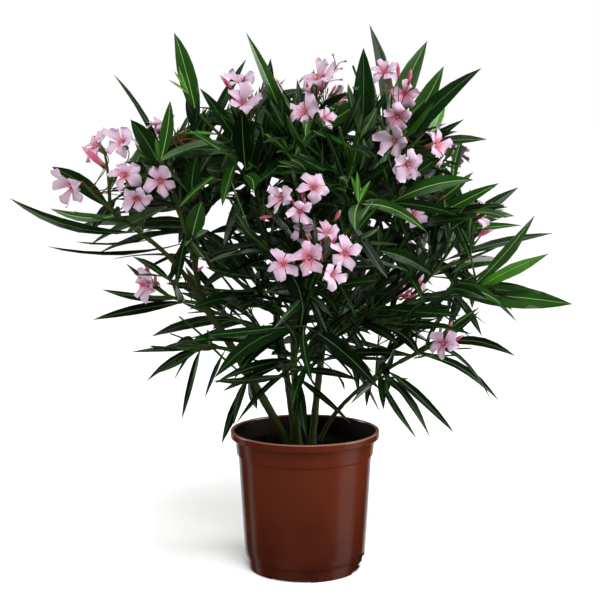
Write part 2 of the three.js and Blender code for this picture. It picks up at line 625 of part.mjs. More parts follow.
function growWhorls(mass, twig, index) {
  const length = twig.getLength();
  const first = index === 0 ? LEAF.firstWhorl : LEAF.firstWhorl * 1.4;
  const whorls = Math.max(2, Math.round((length - first) / LEAF.internode) + 1);
  for (let w = 0; w < whorls; w++) {
    const at = between(first / length, 1, w / (whorls - 1));
    const along = twig.getTangentAt(Math.min(at, 1));
    const root = twig.getPointAt(Math.min(at, 0.97));
    const out = new THREE.Vector3().crossVectors(along, UP).normalize();
    for (let j = 0; j < LEAF.perWhorl; j++) {
      const count = index * 100 + w * 10 + j;
      const luck = chance(mass.seed, count);
      const turn = 2 * Math.PI * (j / LEAF.perWhorl + w / 6 + 0.07 * (luck - 0.5)) + mass.seed;
      const lean = rad(between(LEAF.lowAngle, LEAF.tipAngle, at) + 16 * (chance(mass.seed, count + 50) - 0.5));
      const way = out.clone().applyAxisAngle(along, turn);
      const heading = along.clone().multiplyScalar(Math.cos(lean)).addScaledVector(way, Math.sin(lean));
      const grown = mass.leaf * between(0.85, 1.15, luck) * between(1, 0.8, at);
      const sag = between(LEAF.lowSag, LEAF.tipSag, at);
      addLeaf(mass, root, heading, along, grown, sag, sag * LEAF.archOfSag);
    }
  }
}

function growLongLeaves(mass) {
  for (const plan of mass.long) {
    if (leafFits(mass, plan)) keepLeaf(mass, plan);
  }
}

function makeMass(mass) {
  const twigs = mass.twigs.map((twig, i) =>
    taperedTube(twig, (t) => between(TWIG.foot, TWIG.tip, t) * (i ? 0.8 : 1), TWIG.sides, TWIG.step));
  const solids = [...twigs, ...mass.blooms.map(makeBloom), ...mass.leaves.map(makeLeaf)];
  let joined = wasm.Manifold.union(solids);
  for (const limb of Object.values(limbs)) joined = joined.subtract(limb.shell);
  return mainPiece(joined);
}

// ---------------------------------------------------------------- the object
const plant = new THREE.Group();

const finish = {
  pot: new THREE.MeshStandardMaterial({ color: 0x7a3a28, roughness: 0.42, metalness: 0 }),
  soil: new THREE.MeshStandardMaterial({ color: 0x1d1712, roughness: 0.95, metalness: 0 }),
  bark: new THREE.MeshStandardMaterial({ color: 0x4f4f24, roughness: 0.7, metalness: 0 }),
  foliage: new THREE.MeshStandardMaterial({ color: 0x1f4a1f, roughness: 0.45, metalness: 0 }),
};

function addNode(name, solid, material) {
  const mesh = new THREE.Mesh(geometryOf(solid), material);
  mesh.name = name;
  plant.add(mesh);
}

addNode("pot", makePot(), finish.pot);
addNode("root_ball", makeSoil(), finish.soil);
for (const limb of Object.values(limbs)) {
  makeLimb(limb);
  addNode(limb.name, limb.solid, finish.bark);
}
for (const mass of Object.values(masses)) growSideTwigs(mass);
for (const mass of Object.values(masses)) {
  growLongLeaves(mass);
  mass.twigs.forEach((twig, index) => growWhorls(mass, twig, index));
  addNode(`foliage_${mass.name}`, makeMass(mass), finish.foliage);
}

export default plant;
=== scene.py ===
"""A flowering oleander in a five litre nursery pot, dressed over its solid model.

The plan of the plant and its rule of growth are in millimetres, as in the solid model: stems and boughs
are curves, and each mass of foliage grows from its own bough by seeded chances. Here the same rule goes on
to the whorls between, to finer twigs, to buds and to the parts of every flower. Meshes are in metres, +Z up,
with the origin under the middle of the pot and the front towards -Y.
"""

import math

import bpy
import numpy as np
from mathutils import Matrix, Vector, noise


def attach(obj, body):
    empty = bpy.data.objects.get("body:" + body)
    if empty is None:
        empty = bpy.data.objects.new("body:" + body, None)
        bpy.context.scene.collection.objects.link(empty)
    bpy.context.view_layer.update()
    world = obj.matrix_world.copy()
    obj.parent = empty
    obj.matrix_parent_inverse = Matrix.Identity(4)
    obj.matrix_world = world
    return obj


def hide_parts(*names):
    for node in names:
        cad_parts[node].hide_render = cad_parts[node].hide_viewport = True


bl_info = {
    "name": "Potted Oleander",
    "version": (1, 0, 0),
    "blender": (4, 5, 0),
    "location": "View3D > Sidebar > Oleander",
    "description": "Dresses the solid model of a flowering oleander in its pot",
    "category": "Object",
}

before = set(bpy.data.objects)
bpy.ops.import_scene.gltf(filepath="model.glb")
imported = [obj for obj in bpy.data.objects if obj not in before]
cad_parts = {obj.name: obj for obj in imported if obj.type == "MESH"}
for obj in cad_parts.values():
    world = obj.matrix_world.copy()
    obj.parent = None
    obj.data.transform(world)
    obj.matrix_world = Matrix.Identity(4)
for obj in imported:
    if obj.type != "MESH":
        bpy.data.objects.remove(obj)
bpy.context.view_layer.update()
MM = 0.001


def tint(code):
    """A linear colour from the six digits that a colour picker shows."""
    shares = [int(code[i : i + 2], 16) / 255 for i in (0, 2, 4)]
    return tuple(s / 12.92 if s <= 0.04045 else ((s + 0.055) / 1.055) ** 2.4 for s in shares) + (1.0,)


# ---------------------------------------------------------------- the plan of the plant
POT = dict(
    height=197, wall=1.8, floor=6, sides=96, lip_radius=105, lip_drop=10, lip_corner=1.5, lip_inset=6.4,
    band_drop=34, band_step=2.6, shoulder=93.8, foot_radius=80.6, foot_top=18, foot_step=2.8,
    foot_wall=85.3, foot_corner=1.5,
)
NOTCH = dict(count=4, first=-105, span=42, height=3.3, inner=48)  # degrees from +X
SLOT = dict(bearings=[-8, 172], width=24, height=13, inner=76)
WIDE_SLOT = dict(bearing=-20, near=58, width=28, low=6, high=24)  # in the step of the right foot
SOIL_TOP = 175
LEAF = dict(
    per_whorl=3, internode=43, first_whorl=16, low_angle=80, tip_angle=26, angle_spread=16, low_sag=0.36,
    tip_sag=-0.02, side_first=1.4,
    width_fixed=12, width_share=0.1, fold=0.16, keel=0.013, shortest=55, apart=9, arch_of_sag=0.34,
    tries=[[0, 0], [0.08, 0.4], [0.08, -0.4], [0.25, 0], [0.35, 0.5], [0.35, -0.5], [0.5, 0], [0.6, 0.7]],
    sections=[[0.45, 1.12]], long_sections=[[0.3, 1.1], [0.66, 1]],
)
SIDE_TWIG = dict(start=0.22, end=0.72, angle=44, share=0.5, attempts=12, shrink=0.035)
BLOOM = dict(radius=23, tube=15, spread=0.22)
CROWN = dict(
    middle=[5, 15, 405], across=322, deep=318, above=296, below=225, round_above=2.2, round_below=1.6,
)
SPACE = dict(margin=1.6, limb=1.4, bloom=4)

# A limb is one curve from foot to tip with its two radii. One with `on` grows from that limb, at the
# share `at` of its length, or from its tip.
LIMBS = {
    "stem_left": dict(foot=[-22, -6, 175], bend=[-88, -34, 305], tip=[-139, -60, 383], r=[6.2, 4.8]),
    "stem_centre": dict(foot=[-9, -14, 175], bend=[-16, -14, 280], tip=[-18, -10, 384], r=[5.2, 4.2]),
    "stem_back": dict(foot=[-14, 20, 175], bend=[-26, 42, 270], tip=[-40, 100, 345], r=[5, 4]),
    "stem_right": dict(foot=[10, 4, 175], bend=[20, 4, 290], tip=[35, 2, 384], r=[5.2, 4.2]),
    "branch_low": dict(foot=[22, 24, 175], bend=[44, 22, 238], tip=[131, -30, 298], r=[3.4, 2.5]),

    "bough_left_up": dict(on="stem_left", bend=[-146, -54, 410], tip=[-152, -40, 448], r=[4.2, 3.4]),
    "bough_left_out": dict(on="stem_left", bend=[-160, -66, 430], tip=[-206, -58, 466], r=[3.6, 2.9]),
    "bough_front": dict(on="stem_centre", at=0.72, bend=[-4, -60, 330], tip=[4, -112, 384], r=[3.4, 2.8]),
    "bough_crown_left": dict(on="stem_centre", bend=[-36, -14, 420], tip=[-50, -28, 458], r=[3.5, 2.9]),
    "bough_crown_centre": dict(on="stem_centre", bend=[-12, -12, 430], tip=[-8, -16, 470], r=[3.4, 2.9]),
    "bough_crown_right": dict(on="stem_right", bend=[62, 0, 440], tip=[84, -12, 486], r=[3.6, 2.9]),
    "bough_crown_middle": dict(on="stem_right", bend=[42, -30, 410], tip=[54, -52, 446], r=[3.3, 2.7]),
    "bough_right_up": dict(on="stem_right", at=0.96, bend=[80, -20, 396], tip=[112, -44, 430], r=[3.4, 2.7]),
    "bough_right_out": dict(on="stem_right", at=0.84, bend=[90, 6, 360], tip=[160, -28, 384], r=[3.5, 2.8]),
    "bough_back_left": dict(on="stem_back", bend=[-80, 128, 376], tip=[-122, 136, 414], r=[3.4, 2.8]),
    "bough_back_up": dict(on="stem_back", bend=[-32, 116, 390], tip=[-26, 124, 450], r=[3.5, 2.8]),
    "bough_back_right": dict(on="stem_back", at=0.9, bend=[20, 126, 360], tip=[84, 136, 404], r=[3.4, 2.8]),
}

# A mass hangs on a limb. `reach` holds the long leaves of its outline: the share along its twig, the tip and
# the arch. `blooms` holds each open flower: its middle, the way it faces (turn to the right of the front,
# rise above level) and its size beside the usual one.
MASSES = {
    "left_tip": dict(
        on="bough_left_out", bend=[-258, -60, 505], tip=[-292, -62, 540], sides=2, leaf=110, seed=3,
        reach=[[0.2, -396, -60, 525, -0.22], [0.05, -300, -112, 470, -0.12],
            [0.6, -348, -10, 566, 0.02], [0.5, -336, -90, 512, -0.06]],
        blooms=[[-312, -70, 541, -70, 15, 1.15], [-282, -40, 596, -60, 45, 1.25],
            [-236, -104, 556, 0, 15, 1.1], [-218, -116, 526, 8, -8, 0.9],
            [-188, -112, 548, 20, 12, 1.05], [-240, -90, 598, -10, 40, 1.05]],
    ),
    "left_mid": dict(
        on="bough_left_up", bend=[-178, -52, 530], tip=[-196, -40, 600], sides=2, leaf=125, seed=5,
        reach=[[0.12, -354, -30, 458, -0.2], [0.2, -300, 60, 440, 0.06],
            [0.8, -260, -20, 691, 0.12], [0.6, -232, -60, 630, 0.02]],
        blooms=[[-199, -34, 624, -40, 45, 0.9]],
    ),
    "left_crown": dict(
        on="bough_left_up", at=0.7, bend=[-140, 10, 540], tip=[-148, 6, 640], sides=2, leaf=125, seed=8,
        reach=[[0.9, -181, 20, 750, 0.05], [0.75, -82, 40, 716, 0.02]],
    ),
    "left_low": dict(
        on="stem_left", bend=[-176, -84, 388], tip=[-196, -104, 408], sides=1, leaf=115, seed=4,
        reach=[[0.3, -284, -80, 363, 0.04], [0.5, -270, -90, 405, 0.02], [0.6, -240, -70, 438, 0.02]],
        blooms=[[-205, -116, 414, -35, 0, 1]],
    ),
    "left_skirt": dict(
        on="stem_left", at=0.66, bend=[-128, -66, 330], tip=[-150, -92, 322], sides=1, leaf=115, seed=14,
        reach=[[0.5, -213, -84, 280, 0.12], [0.8, -164, -110, 232, 0.14], [0.4, -205, -60, 300, 0.1]],
    ),
    "front_low": dict(
        on="stem_centre", at=0.46, bend=[-14, -72, 296], tip=[-12, -104, 330], sides=2, leaf=125, seed=21,
        reach=[[0.8, -147, -190, 350, 0.06], [0.7, -114, -214, 300, 0.1], [0.3, 2, -70, 198, 0.16],
            [0.5, -94, -104, 224, 0.16]],
    ),
    "front_flowers": dict(
        on="bough_front", bend=[12, -166, 436], tip=[14, -186, 456], sides=1, leaf=100, seed=22,
        reach=[[0.3, 92, -196, 428, 0.06], [0.2, 20, -210, 360, 0.08]],
        blooms=[[25, -190, 486, 5, 50, 0.9], [4, -226, 458, -5, 15, 1.1],
            [-28, -216, 450, -15, 18, 1], [48, -208, 462, 25, 18, 1], [33, -226, 437, 5, -8, 0.9]],
    ),
    "front_upper": dict(
        on="bough_front", at=0.8, bend=[-6, -120, 440], tip=[-6, -160, 504], sides=1, leaf=100, seed=25,
        reach=[[0.4, -90, -150, 500, 0.06]],
        blooms=[[10, -184, 542, 5, 20, 1], [-31, -180, 528, -20, 15, 0.9],
            [-7, -200, 513, 0, -8, 0.8]],
    ),
    "crown_left": dict(
        on="bough_crown_left", bend=[-76, -46, 580], tip=[-82, -60, 630], sides=2, leaf=118, seed=31,
        reach=[[0.7, -48, 30, 716, 0.02], [0.6, -140, -60, 670, 0.1]],
        blooms=[[-82, -86, 650, 0, 22, 1.15], [-86, -40, 680, -30, 60, 1],
            [-42, -36, 682, 60, 35, 1]],
    ),
    "crown_centre": dict(
        on="bough_crown_centre", bend=[0, -30, 590], tip=[10, -44, 648], sides=2, leaf=118, seed=37,
        reach=[[0.45, -76, -110, 738, -0.03], [0.3, 52, -60, 640, 0.06]],
        blooms=[[18, -46, 684, 5, 35, 1.35], [-2, -112, 637, -5, 15, 1.1],
            [25, -120, 628, 15, 5, 0.8]],
    ),
    "crown_middle": dict(
        on="bough_crown_middle", bend=[70, -84, 550], tip=[74, -92, 606], sides=2, leaf=125, seed=41,
        reach=[[0.85, 75, -94, 720, 0.01], [0.4, 30, -120, 606, 0.04],
            [0.25, 104, -130, 432, 0.12], [0.5, 66, -130, 512, 0.12]],
    ),
    "crown_right": dict(
        on="bough_crown_right", bend=[116, -34, 610], tip=[128, -40, 650], sides=2, leaf=120, seed=43,
        reach=[[0.6, 91, 64, 766, 0.02], [0.6, 169, 20, 739, 0.03], [0.55, 190, 0, 703, 0.03],
            [0.4, 239, -20, 699, 0.03], [0.2, 214, -40, 630, 0.05]],
        blooms=[[106, -24, 694, -30, 30, 1.05], [134, -30, 664, 15, 10, 1],
            [122, -60, 632, -10, 0, 1], [116, -94, 600, -10, 10, 1.05],
            [131, -124, 570, 5, -8, 1.05], [170, -104, 594, 20, 20, 1.25]],
    ),
    "right_up": dict(
        on="bough_right_up", bend=[150, -74, 500], tip=[166, -90, 524], sides=2, leaf=120, seed=47,
        reach=[[0.8, 219, -100, 560, 0.06], [0.6, 250, -120, 546, 0.04], [0.35, 262, -120, 515, 0.1]],
        blooms=[[141, -112, 506, 20, 25, 0.9]],
    ),
    "right_mid": dict(
        on="bough_right_out", at=0.8, bend=[186, -40, 430], tip=[212, -58, 484], sides=1, leaf=120, seed=53,
        reach=[[0.6, 345, 0, 474, 0.1], [0.85, 294, -10, 538, 0.0], [0.4, 290, 50, 430, 0.1]],
        blooms=[[232, -52, 502, 60, 30, 0.9]],
    ),
    "right_far": dict(
        on="bough_right_out", bend=[222, -42, 396], tip=[246, -52, 402], sides=1, leaf=120, seed=59,
        reach=[[0.7, 302, -90, 503, 0.01], [0.8, 316, -120, 455, -0.03], [0.5, 359, -70, 383, -0.28]],
    ),
    "right_low": dict(
        on="branch_low", bend=[160, -70, 322], tip=[178, -100, 334], sides=1, leaf=110, seed=61,
        reach=[[0.9, 270, -150, 325, 0.14], [0.8, 247, -120, 257, 0.24], [0.4, 265, -60, 248, 0.12]],
        blooms=[[180, -120, 337, 0, 15, 1]],
    ),
    "right_skirt": dict(
        on="branch_low", at=0.7, bend=[100, -44, 284], tip=[110, -66, 296], sides=1, leaf=115, seed=67,
        reach=[[0.9, 202, -80, 208, 0.14], [0.7, 168, -100, 204, 0.12], [0.5, 152, -80, 199, 0.1]],
    ),
    "inner_right": dict(
        on="stem_right", at=0.72, bend=[70, -64, 360], tip=[116, -88, 392], sides=1, leaf=115, seed=71,
        reach=[[0.8, 196, -170, 380, 0.1], [0.5, 120, -160, 340, 0.08]],
        blooms=[[152, -66, 414, 30, 10, 0.8]],
    ),
    "inner_left": dict(
        on="stem_centre", at=0.84, bend=[-54, -60, 392], tip=[-84, -84, 436], sides=2, leaf=115, seed=73,
        reach=[[0.5, -150, -140, 384, 0.06]],
    ),
    "back_left": dict(
        on="bough_back_left", bend=[-190, 134, 505], tip=[-216, 122, 566], sides=2, leaf=125, seed=79,
        reach=[[0.3, -330, 90, 480, 0.1], [0.5, -262, 224, 556, 0.08]],
        blooms=[[-222, 134, 602, -150, 35, 1], [-246, 104, 586, -100, 25, 0.9],
            [-200, 164, 584, 160, 15, 1]],
    ),
    "back_crown": dict(
        on="bough_back_up", bend=[0, 120, 590], tip=[30, 100, 660], sides=2, leaf=125, seed=85,
        reach=[[0.5, -30, 210, 680, 0.06]],
        blooms=[[22, 128, 690, 180, 40, 1], [52, 130, 664, 160, 15, 0.9],
            [0, 140, 664, -165, 15, 0.95]],
    ),
    "back_right": dict(
        on="bough_back_right", bend=[166, 132, 505], tip=[196, 118, 566], sides=2, leaf=125, seed=89,
        reach=[[0.3, 318, 90, 480, 0.1], [0.5, 244, 226, 556, 0.08]],
        blooms=[[200, 132, 602, 150, 35, 1], [226, 104, 584, 100, 20, 0.95],
            [178, 160, 582, -170, 15, 0.95]],
    ),
    "back_middle": dict(
        on="bough_back_up", at=0.5, bend=[-16, 190, 440], tip=[-10, 236, 500], sides=2, leaf=125, seed=97,
        reach=[[0.8, -40, 340, 500, 0.1]],
        blooms=[[-6, 262, 520, 180, 15, 1]],
    ),
    "back_low_left": dict(
        on="stem_back", at=0.86, bend=[-90, 130, 326], tip=[-130, 170, 346], sides=2, leaf=120, seed=101,
        reach=[[0.7, -240, 200, 300, 0.12], [0.6, -150, 290, 300, 0.12]],
    ),
    "back_low_right": dict(
        on="stem_back", at=0.66, bend=[30, 110, 300], tip=[90, 160, 336], sides=2, leaf=120, seed=103,
        reach=[[0.7, 200, 190, 290, 0.12], [0.6, 110, 280, 290, 0.12]],
    ),
}

# How the dressed leaves of the outline differ from the solid ones: by mass and row of `reach`, the arch, how
# far the face turns to the front, the width beside the usual one, the tone from deep, 0, to young, 3, and how
# far the middle bends to the right.
OUTLINE_LEAVES = {
    "left_tip": {0: [-0.17, 0.5, 0.85, 1], 1: [-0.12, 0, 0.8, 0], 2: [0.05, 1, 1.3, 1]},
    "left_mid": {0: [-0.16, 0, 0.9, 0], 1: [0.04, 0.3, 1, 1], 2: [0.1, 0.15, 0.75, 1]},
    "left_crown": {0: [0.1, 1, 1.3, 2, 18], 1: [0.02, 0.6, 0.8, 1]},
    "left_low": {0: [0.08, 0.2, 0.7, 0], 1: [0.02, 0.4, 0.8, 1], 2: [0.02, 0.2, 0.8, 0]},
    "left_skirt": {0: [0.12, 0, 0.9, 0], 1: [0.22, 0, 0.8, 0], 2: [0.1, 0, 0.7, 1]},
    "front_low": {0: [0.1, 0.6, 1.1, 1], 1: [0.16, 0.4, 0.9, 0], 2: [0.16, 1, 1.1, 1], 3: [0.2, 0, 0.7, 0]},
    "crown_left": {0: [0.02, 1, 1.2, 1], 1: [0.1, 0.8, 1, 1]},
    "crown_centre": {0: [-0.03, 1, 1.15, 2]},
    "crown_middle": {0: [0.01, 1, 1.5, 1]},
    "crown_right": {0: [0.02, 0.8, 1.1, 1], 1: [0.03, 1, 1.5, 2], 2: [0.05, 1, 1.4, 2], 3: [0.1, 1, 1.35, 1]},
    "right_mid": {0: [0.06, 0.2, 0.8, 1]},
    "right_far": {0: [0.04, 1, 1.2, 2], 1: [-0.03, 1, 1.2, 3], 2: [-0.03, 1, 1.6, 2]},
    "right_low": {0: [0.1, 0.3, 0.8, 0], 1: [0.4, 0, 0.8, 1], 2: [0.12, 0, 0.8, 0]},
    "right_skirt": {0: [0.14, 0, 0.9, 0], 1: [0.12, 0, 0.9, 0], 2: [0.1, 0, 0.8, 1]},
}
# Flowers that the dressing turns or grows a little: by mass and row of `blooms`, turn, rise and size.
TURNED_BLOOMS = {
    "left_tip": {0: [-42, 6, 1.25], 1: [-32, 38, 1.35], 3: [0, -5, 0.95]},
    "left_low": {0: [-20, 5, 1.1]},
}
# Shoots that stand out in front: the mass, the share along its twig where the shoot starts, its end, and the
# leaves there, each by its tip, arch, width beside the usual one, and tone.
SHOOTS = [
    ["left_mid", 0.1, [-149, -112, 471], [[-133, -130, 523, 0.1, 2.3, 2]]],
    ["left_mid", 0.45, [-148, -100, 523], [[-141, -98, 582, 0.05, 1.9, 1]]],
    ["left_mid", 0.75, [-192, -80, 569], [[-230, -75, 628, 0.05, 1.8, 1], [-178, -70, 653, 0.05, 1.2, 2]]],
    ["crown_left", 0.55, [-78, -98, 563], [[-82, -110, 641, 0.03, 1.8, 0]]],
    ["front_flowers", 0.7, [59, -172, 494], [[102, -195, 429, 0.12, 1.3, 0]]],
    ["front_low", 0.9, [-3, -190, 392], [[-22, -205, 441, 0.1, 2.6, 0]]],
    ["left_skirt", 0.5, [-77, -70, 283],
        [[-97, -74, 217, 0.16, 1.0, 1], [-65, -72, 240, -0.1, 1.3, 1], [-114, -66, 190, 0.1, 0.9, 0]]],
    ["front_low", 0.75, [-2, -160, 366],
        [[-116, -168, 300, 0.12, 1.0, 1], [-149, -160, 350, 0.1, 0.5, 1], [-92, -160, 296, 0.14, 0.8, 0],
            [9, -182, 294, 0.15, 0.8, 1], [95, -150, 282, 0.15, 1.1, 0]]],
    ["crown_middle", 0.5, [54, -115, 541], [[22, -120, 619, 0.03, 0.6, 1]]],
    ["right_up", 0.9, [110, -112, 520],
        [[177, -125, 580, 0.08, 1.25, 1], [217, -118, 550, 0.1, 1.1, 2], [196, -150, 505, 0.1, 0.9, 1]]],
    ["crown_middle", 0.3, [67, -150, 520],
        [[57, -150, 556, 0, 0.8, 3], [65, -155, 562, 0, 0.8, 3], [82, -152, 550, 0.05, 0.8, 3],
            [62, -182, 487, 0.2, 2.0, 2], [153, -160, 485, 0.12, 0.9, 2]]],
    ["inner_right", 0.7, [92, -150, 461], [[161, -165, 431, 0.12, 1.3, 1]]],
    ["right_far", 0.2, [188, -100, 408], [[237, -125, 395, 0.12, 1.6, 1], [261, -95, 385, 0.14, 1.1, 2]]],
    ["left_crown", 0.9, [-158, -12, 664],
        [[-179, -12, 696, 0, 0.5, 3], [-172, -14, 702, 0, 0.45, 3], [-187, -12, 684, 0, 0.5, 3]]],
]
# Flowers of the dressing alone: the mass, the middle, the way it faces and its size.
MORE_BLOOMS = [["front_flowers", [0, -158, 484, -35, 40, 1.0]], ["right_up", [128, -120, 566, 20, 10, 0.8]]]
# Openings through the crown where the sky shows from the front: the middle, across and up, and half sizes,
# all on the plane through the stems as seen from `eye`.
SKY = dict(
    eye=[-7, -1750, 580],
    gaps=[[-236, 374, 62, 36], [-196, 338, 52, 16], [-97, 399, 33, 13], [208, 286, 47, 36],
        [267, 464, 24, 28], [236, 569, 22, 33], [278, 332, 30, 19], [-252, 455, 36, 11], [-88, 328, 20, 12],
        [-40, 261, 13, 15], [243, 434, 11, 25], [202, 444, 15, 14], [-125, 492, 13, 17], [275, 423, 22, 19],
        [136, 285, 17, 15], [100, 330, 18, 13], [-196, 456, 12, 12], [-67, 364, 17, 9], [143, 384, 13, 16],
        [-189, 500, 12, 11], [21, 664, 9, 11], [-39, 540, 12, 12], [-90, 563, 9, 11], [-117, 614, 10, 10],
        [190, 405, 11, 13], [257, 534, 20, 20], [-160, 256, 18, 15], [-130, 306, 18, 9]],
)
# Boughs that show between the leaves from the front: from which share to which, and how far leaves keep off.
BARE = dict(limbs={"stem_left": [0.5, 1], "bough_left_up": [0, 0.8]}, clear=10, count=14)


# ---------------------------------------------------------------- curves and distances
UP = np.array([0.0, 0.0, 1.0])
FRONT = np.array([0.0, -1.0, 0.0])
SHARES = np.linspace(0, 1, 201)
STEP_ROUND = 2.4  # the turn in radians from one thing to the next round a shoot


def unit(rows):
    return rows / np.maximum(np.linalg.norm(rows, axis=-1, keepdims=True), 1e-12)


def between(low, high, share):
    return low + (high - low) * share


def chance(seed, count):
    """A number from 0 to 1 that is always the same for a seed and a count."""
    wave = math.sin(seed * 12.9898 + count * 78.233) * 43758.5453
    return wave - math.floor(wave)


def turned_about(rows, axis, angle):
    """Directions turned about an axis of length one."""
    along = np.sum(rows * axis, axis=-1, keepdims=True) * axis
    return rows * math.cos(angle) + np.cross(axis, rows) * math.sin(angle) + along * (1 - math.cos(angle))


def leaning(along, degrees, turn):
    """The way that leans off a shoot by some degrees, and its direction square to the shoot."""
    lean = math.radians(degrees)
    way = turned_about(unit(np.cross(along, UP)), along, turn)
    return along * math.cos(lean) + way * math.sin(lean), way


class Bow:
    """A curve from foot to tip, drawn towards one bend and measured along its own length."""

    def __init__(self, foot, bend, tip):
        self.foot, self.bend, self.tip = (np.array(place, float) for place in (foot, bend, tip))
        steps = np.linalg.norm(np.diff(self.point(SHARES), axis=0), axis=1)
        self.measured = np.concatenate([[0.0], np.cumsum(steps)])
        self.length = self.measured[-1]

    def point(self, share):
        t = np.asarray(share, float)[..., None]
        return (1 - t) ** 2 * self.foot + 2 * (1 - t) * t * self.bend + t**2 * self.tip

    def tangent(self, share):
        t = np.asarray(share, float)[..., None]
        return unit((1 - t) * (self.bend - self.foot) + t * (self.tip - self.bend))

    def share_at(self, part):
        return np.interp(np.asarray(part, float) * self.length, self.measured, SHARES)

    def pieces(self, count):
        """The curve as straight pieces, to measure distances to it."""
        points = self.point(self.share_at(np.linspace(0, 1, count + 1)))
        return np.stack([points[:-1], points[1:]], axis=1)


def distances(pieces, points):
    """How far each point lies from the nearest straight piece."""
    start = pieces[:, 0]
    way = pieces[:, 1] - start
    off = points[:, None] - start
    share = np.clip(np.sum(off * way, axis=2) / np.maximum(np.sum(way * way, axis=1), 1e-9), 0, 1)
    return np.linalg.norm(off - share[..., None] * way, axis=2).min(axis=1)


# ---------------------------------------------------------------- the rule of growth
class Leaf:
    """A blade from root to tip. `arch` lifts its middle, and it faces the way its twig grows.

    `show` turns it on towards the front, `broad` is its width beside the usual one, `tone` its own colour.
    """

    def __init__(self, root, tip, arch, face, age=1.0):
        self.root, self.tip, self.arch, self.face, self.age = root, tip, arch, face, age
        self.show, self.broad, self.tone = 0.0, 1.0, None
        self.length = np.linalg.norm(tip - root)
        self.curve = Bow(root, (root + tip) / 2 + UP * arch * self.length, tip)
        self.width = LEAF["width_fixed"] + LEAF["width_share"] * self.length

    def section(self, share, fullness):
        along = self.curve.tangent(share)
        across = unit(np.cross(along, self.face))
        top = np.cross(across, along)
        half = self.width / 2 * fullness
        middle = self.curve.point(share)
        edges = [middle + across * side * half + top * half * LEAF["fold"] for side in (-1, 1)]
        return np.array([*edges, middle - top * max(1.2, LEAF["keel"] * self.length)])


def facing(turn, rise):
    turn, rise = math.radians(turn), math.radians(rise)
    return np.array([math.sin(turn) * math.cos(rise), -math.cos(turn) * math.cos(rise), math.sin(rise)])


class Bloom:
    """An open flower: its middle, the way it faces, its size and its stalk from `foot` to `base`."""

    def __init__(self, plan, twig, share):
        *centre, turn, rise, self.size = plan
        self.centre = np.array(centre, float)
        self.foot = twig.point(share)
        self.look(turn, rise)

    def look(self, turn, rise):
        self.axis = facing(turn, rise)
        self.nod(0)

    def nod(self, aside):
        self.axis = unit(self.axis + aside)
        self.base = self.centre - self.axis * BLOOM["tube"] * self.size


class Mass:
    """One mass of foliage: its twigs, flowers and leaves, and the straight pieces that mark its space."""

    def __init__(self, name, plan, limbs):
        self.name, self.seed, self.sides, self.leaf = name, plan["seed"], plan["sides"], plan["leaf"]
        limb = limbs[plan["on"]]
        twig = Bow(limb.point(limb.share_at(plan.get("at", 1))), plan["bend"], plan["tip"])
        self.twigs = [twig]
        rows = plan.get("blooms", [])
        self.blooms = [
            Bloom(row, twig, 1 - BLOOM["spread"] * (i + 0.5) / len(rows)) for i, row in enumerate(rows)
        ]
        self.long = []
        for at, x, y, z, arch in plan["reach"]:
            share = twig.share_at(at)
            tip = np.array([x, y, z], float)
            self.long.append(Leaf(twig.point(share), tip, arch, twig.tangent(share)))
        axes = [twig.pieces(3), *(leaf.curve.pieces(3) for leaf in self.long)]
        taken = np.zeros((0, 2, 3))
        for bloom in self.blooms:
            axes.append(np.array([[bloom.foot, bloom.base], [bloom.base, bloom.centre]]))
            neck = bloom.foot + 0.3 * (bloom.base - bloom.foot)
            taken = np.concatenate([taken, [[neck, bloom.base]]])
        self.axes = np.concatenate(axes)
        self.taken = taken
        self.bars = twig.pieces(3)
        self.leaves = []
        self.fine_twigs = []
        self.tufts = []

    def keep(self, leaf):
        self.taken = np.concatenate([self.taken, leaf.curve.pieces(3)[1:]])
        self.leaves.append(leaf)


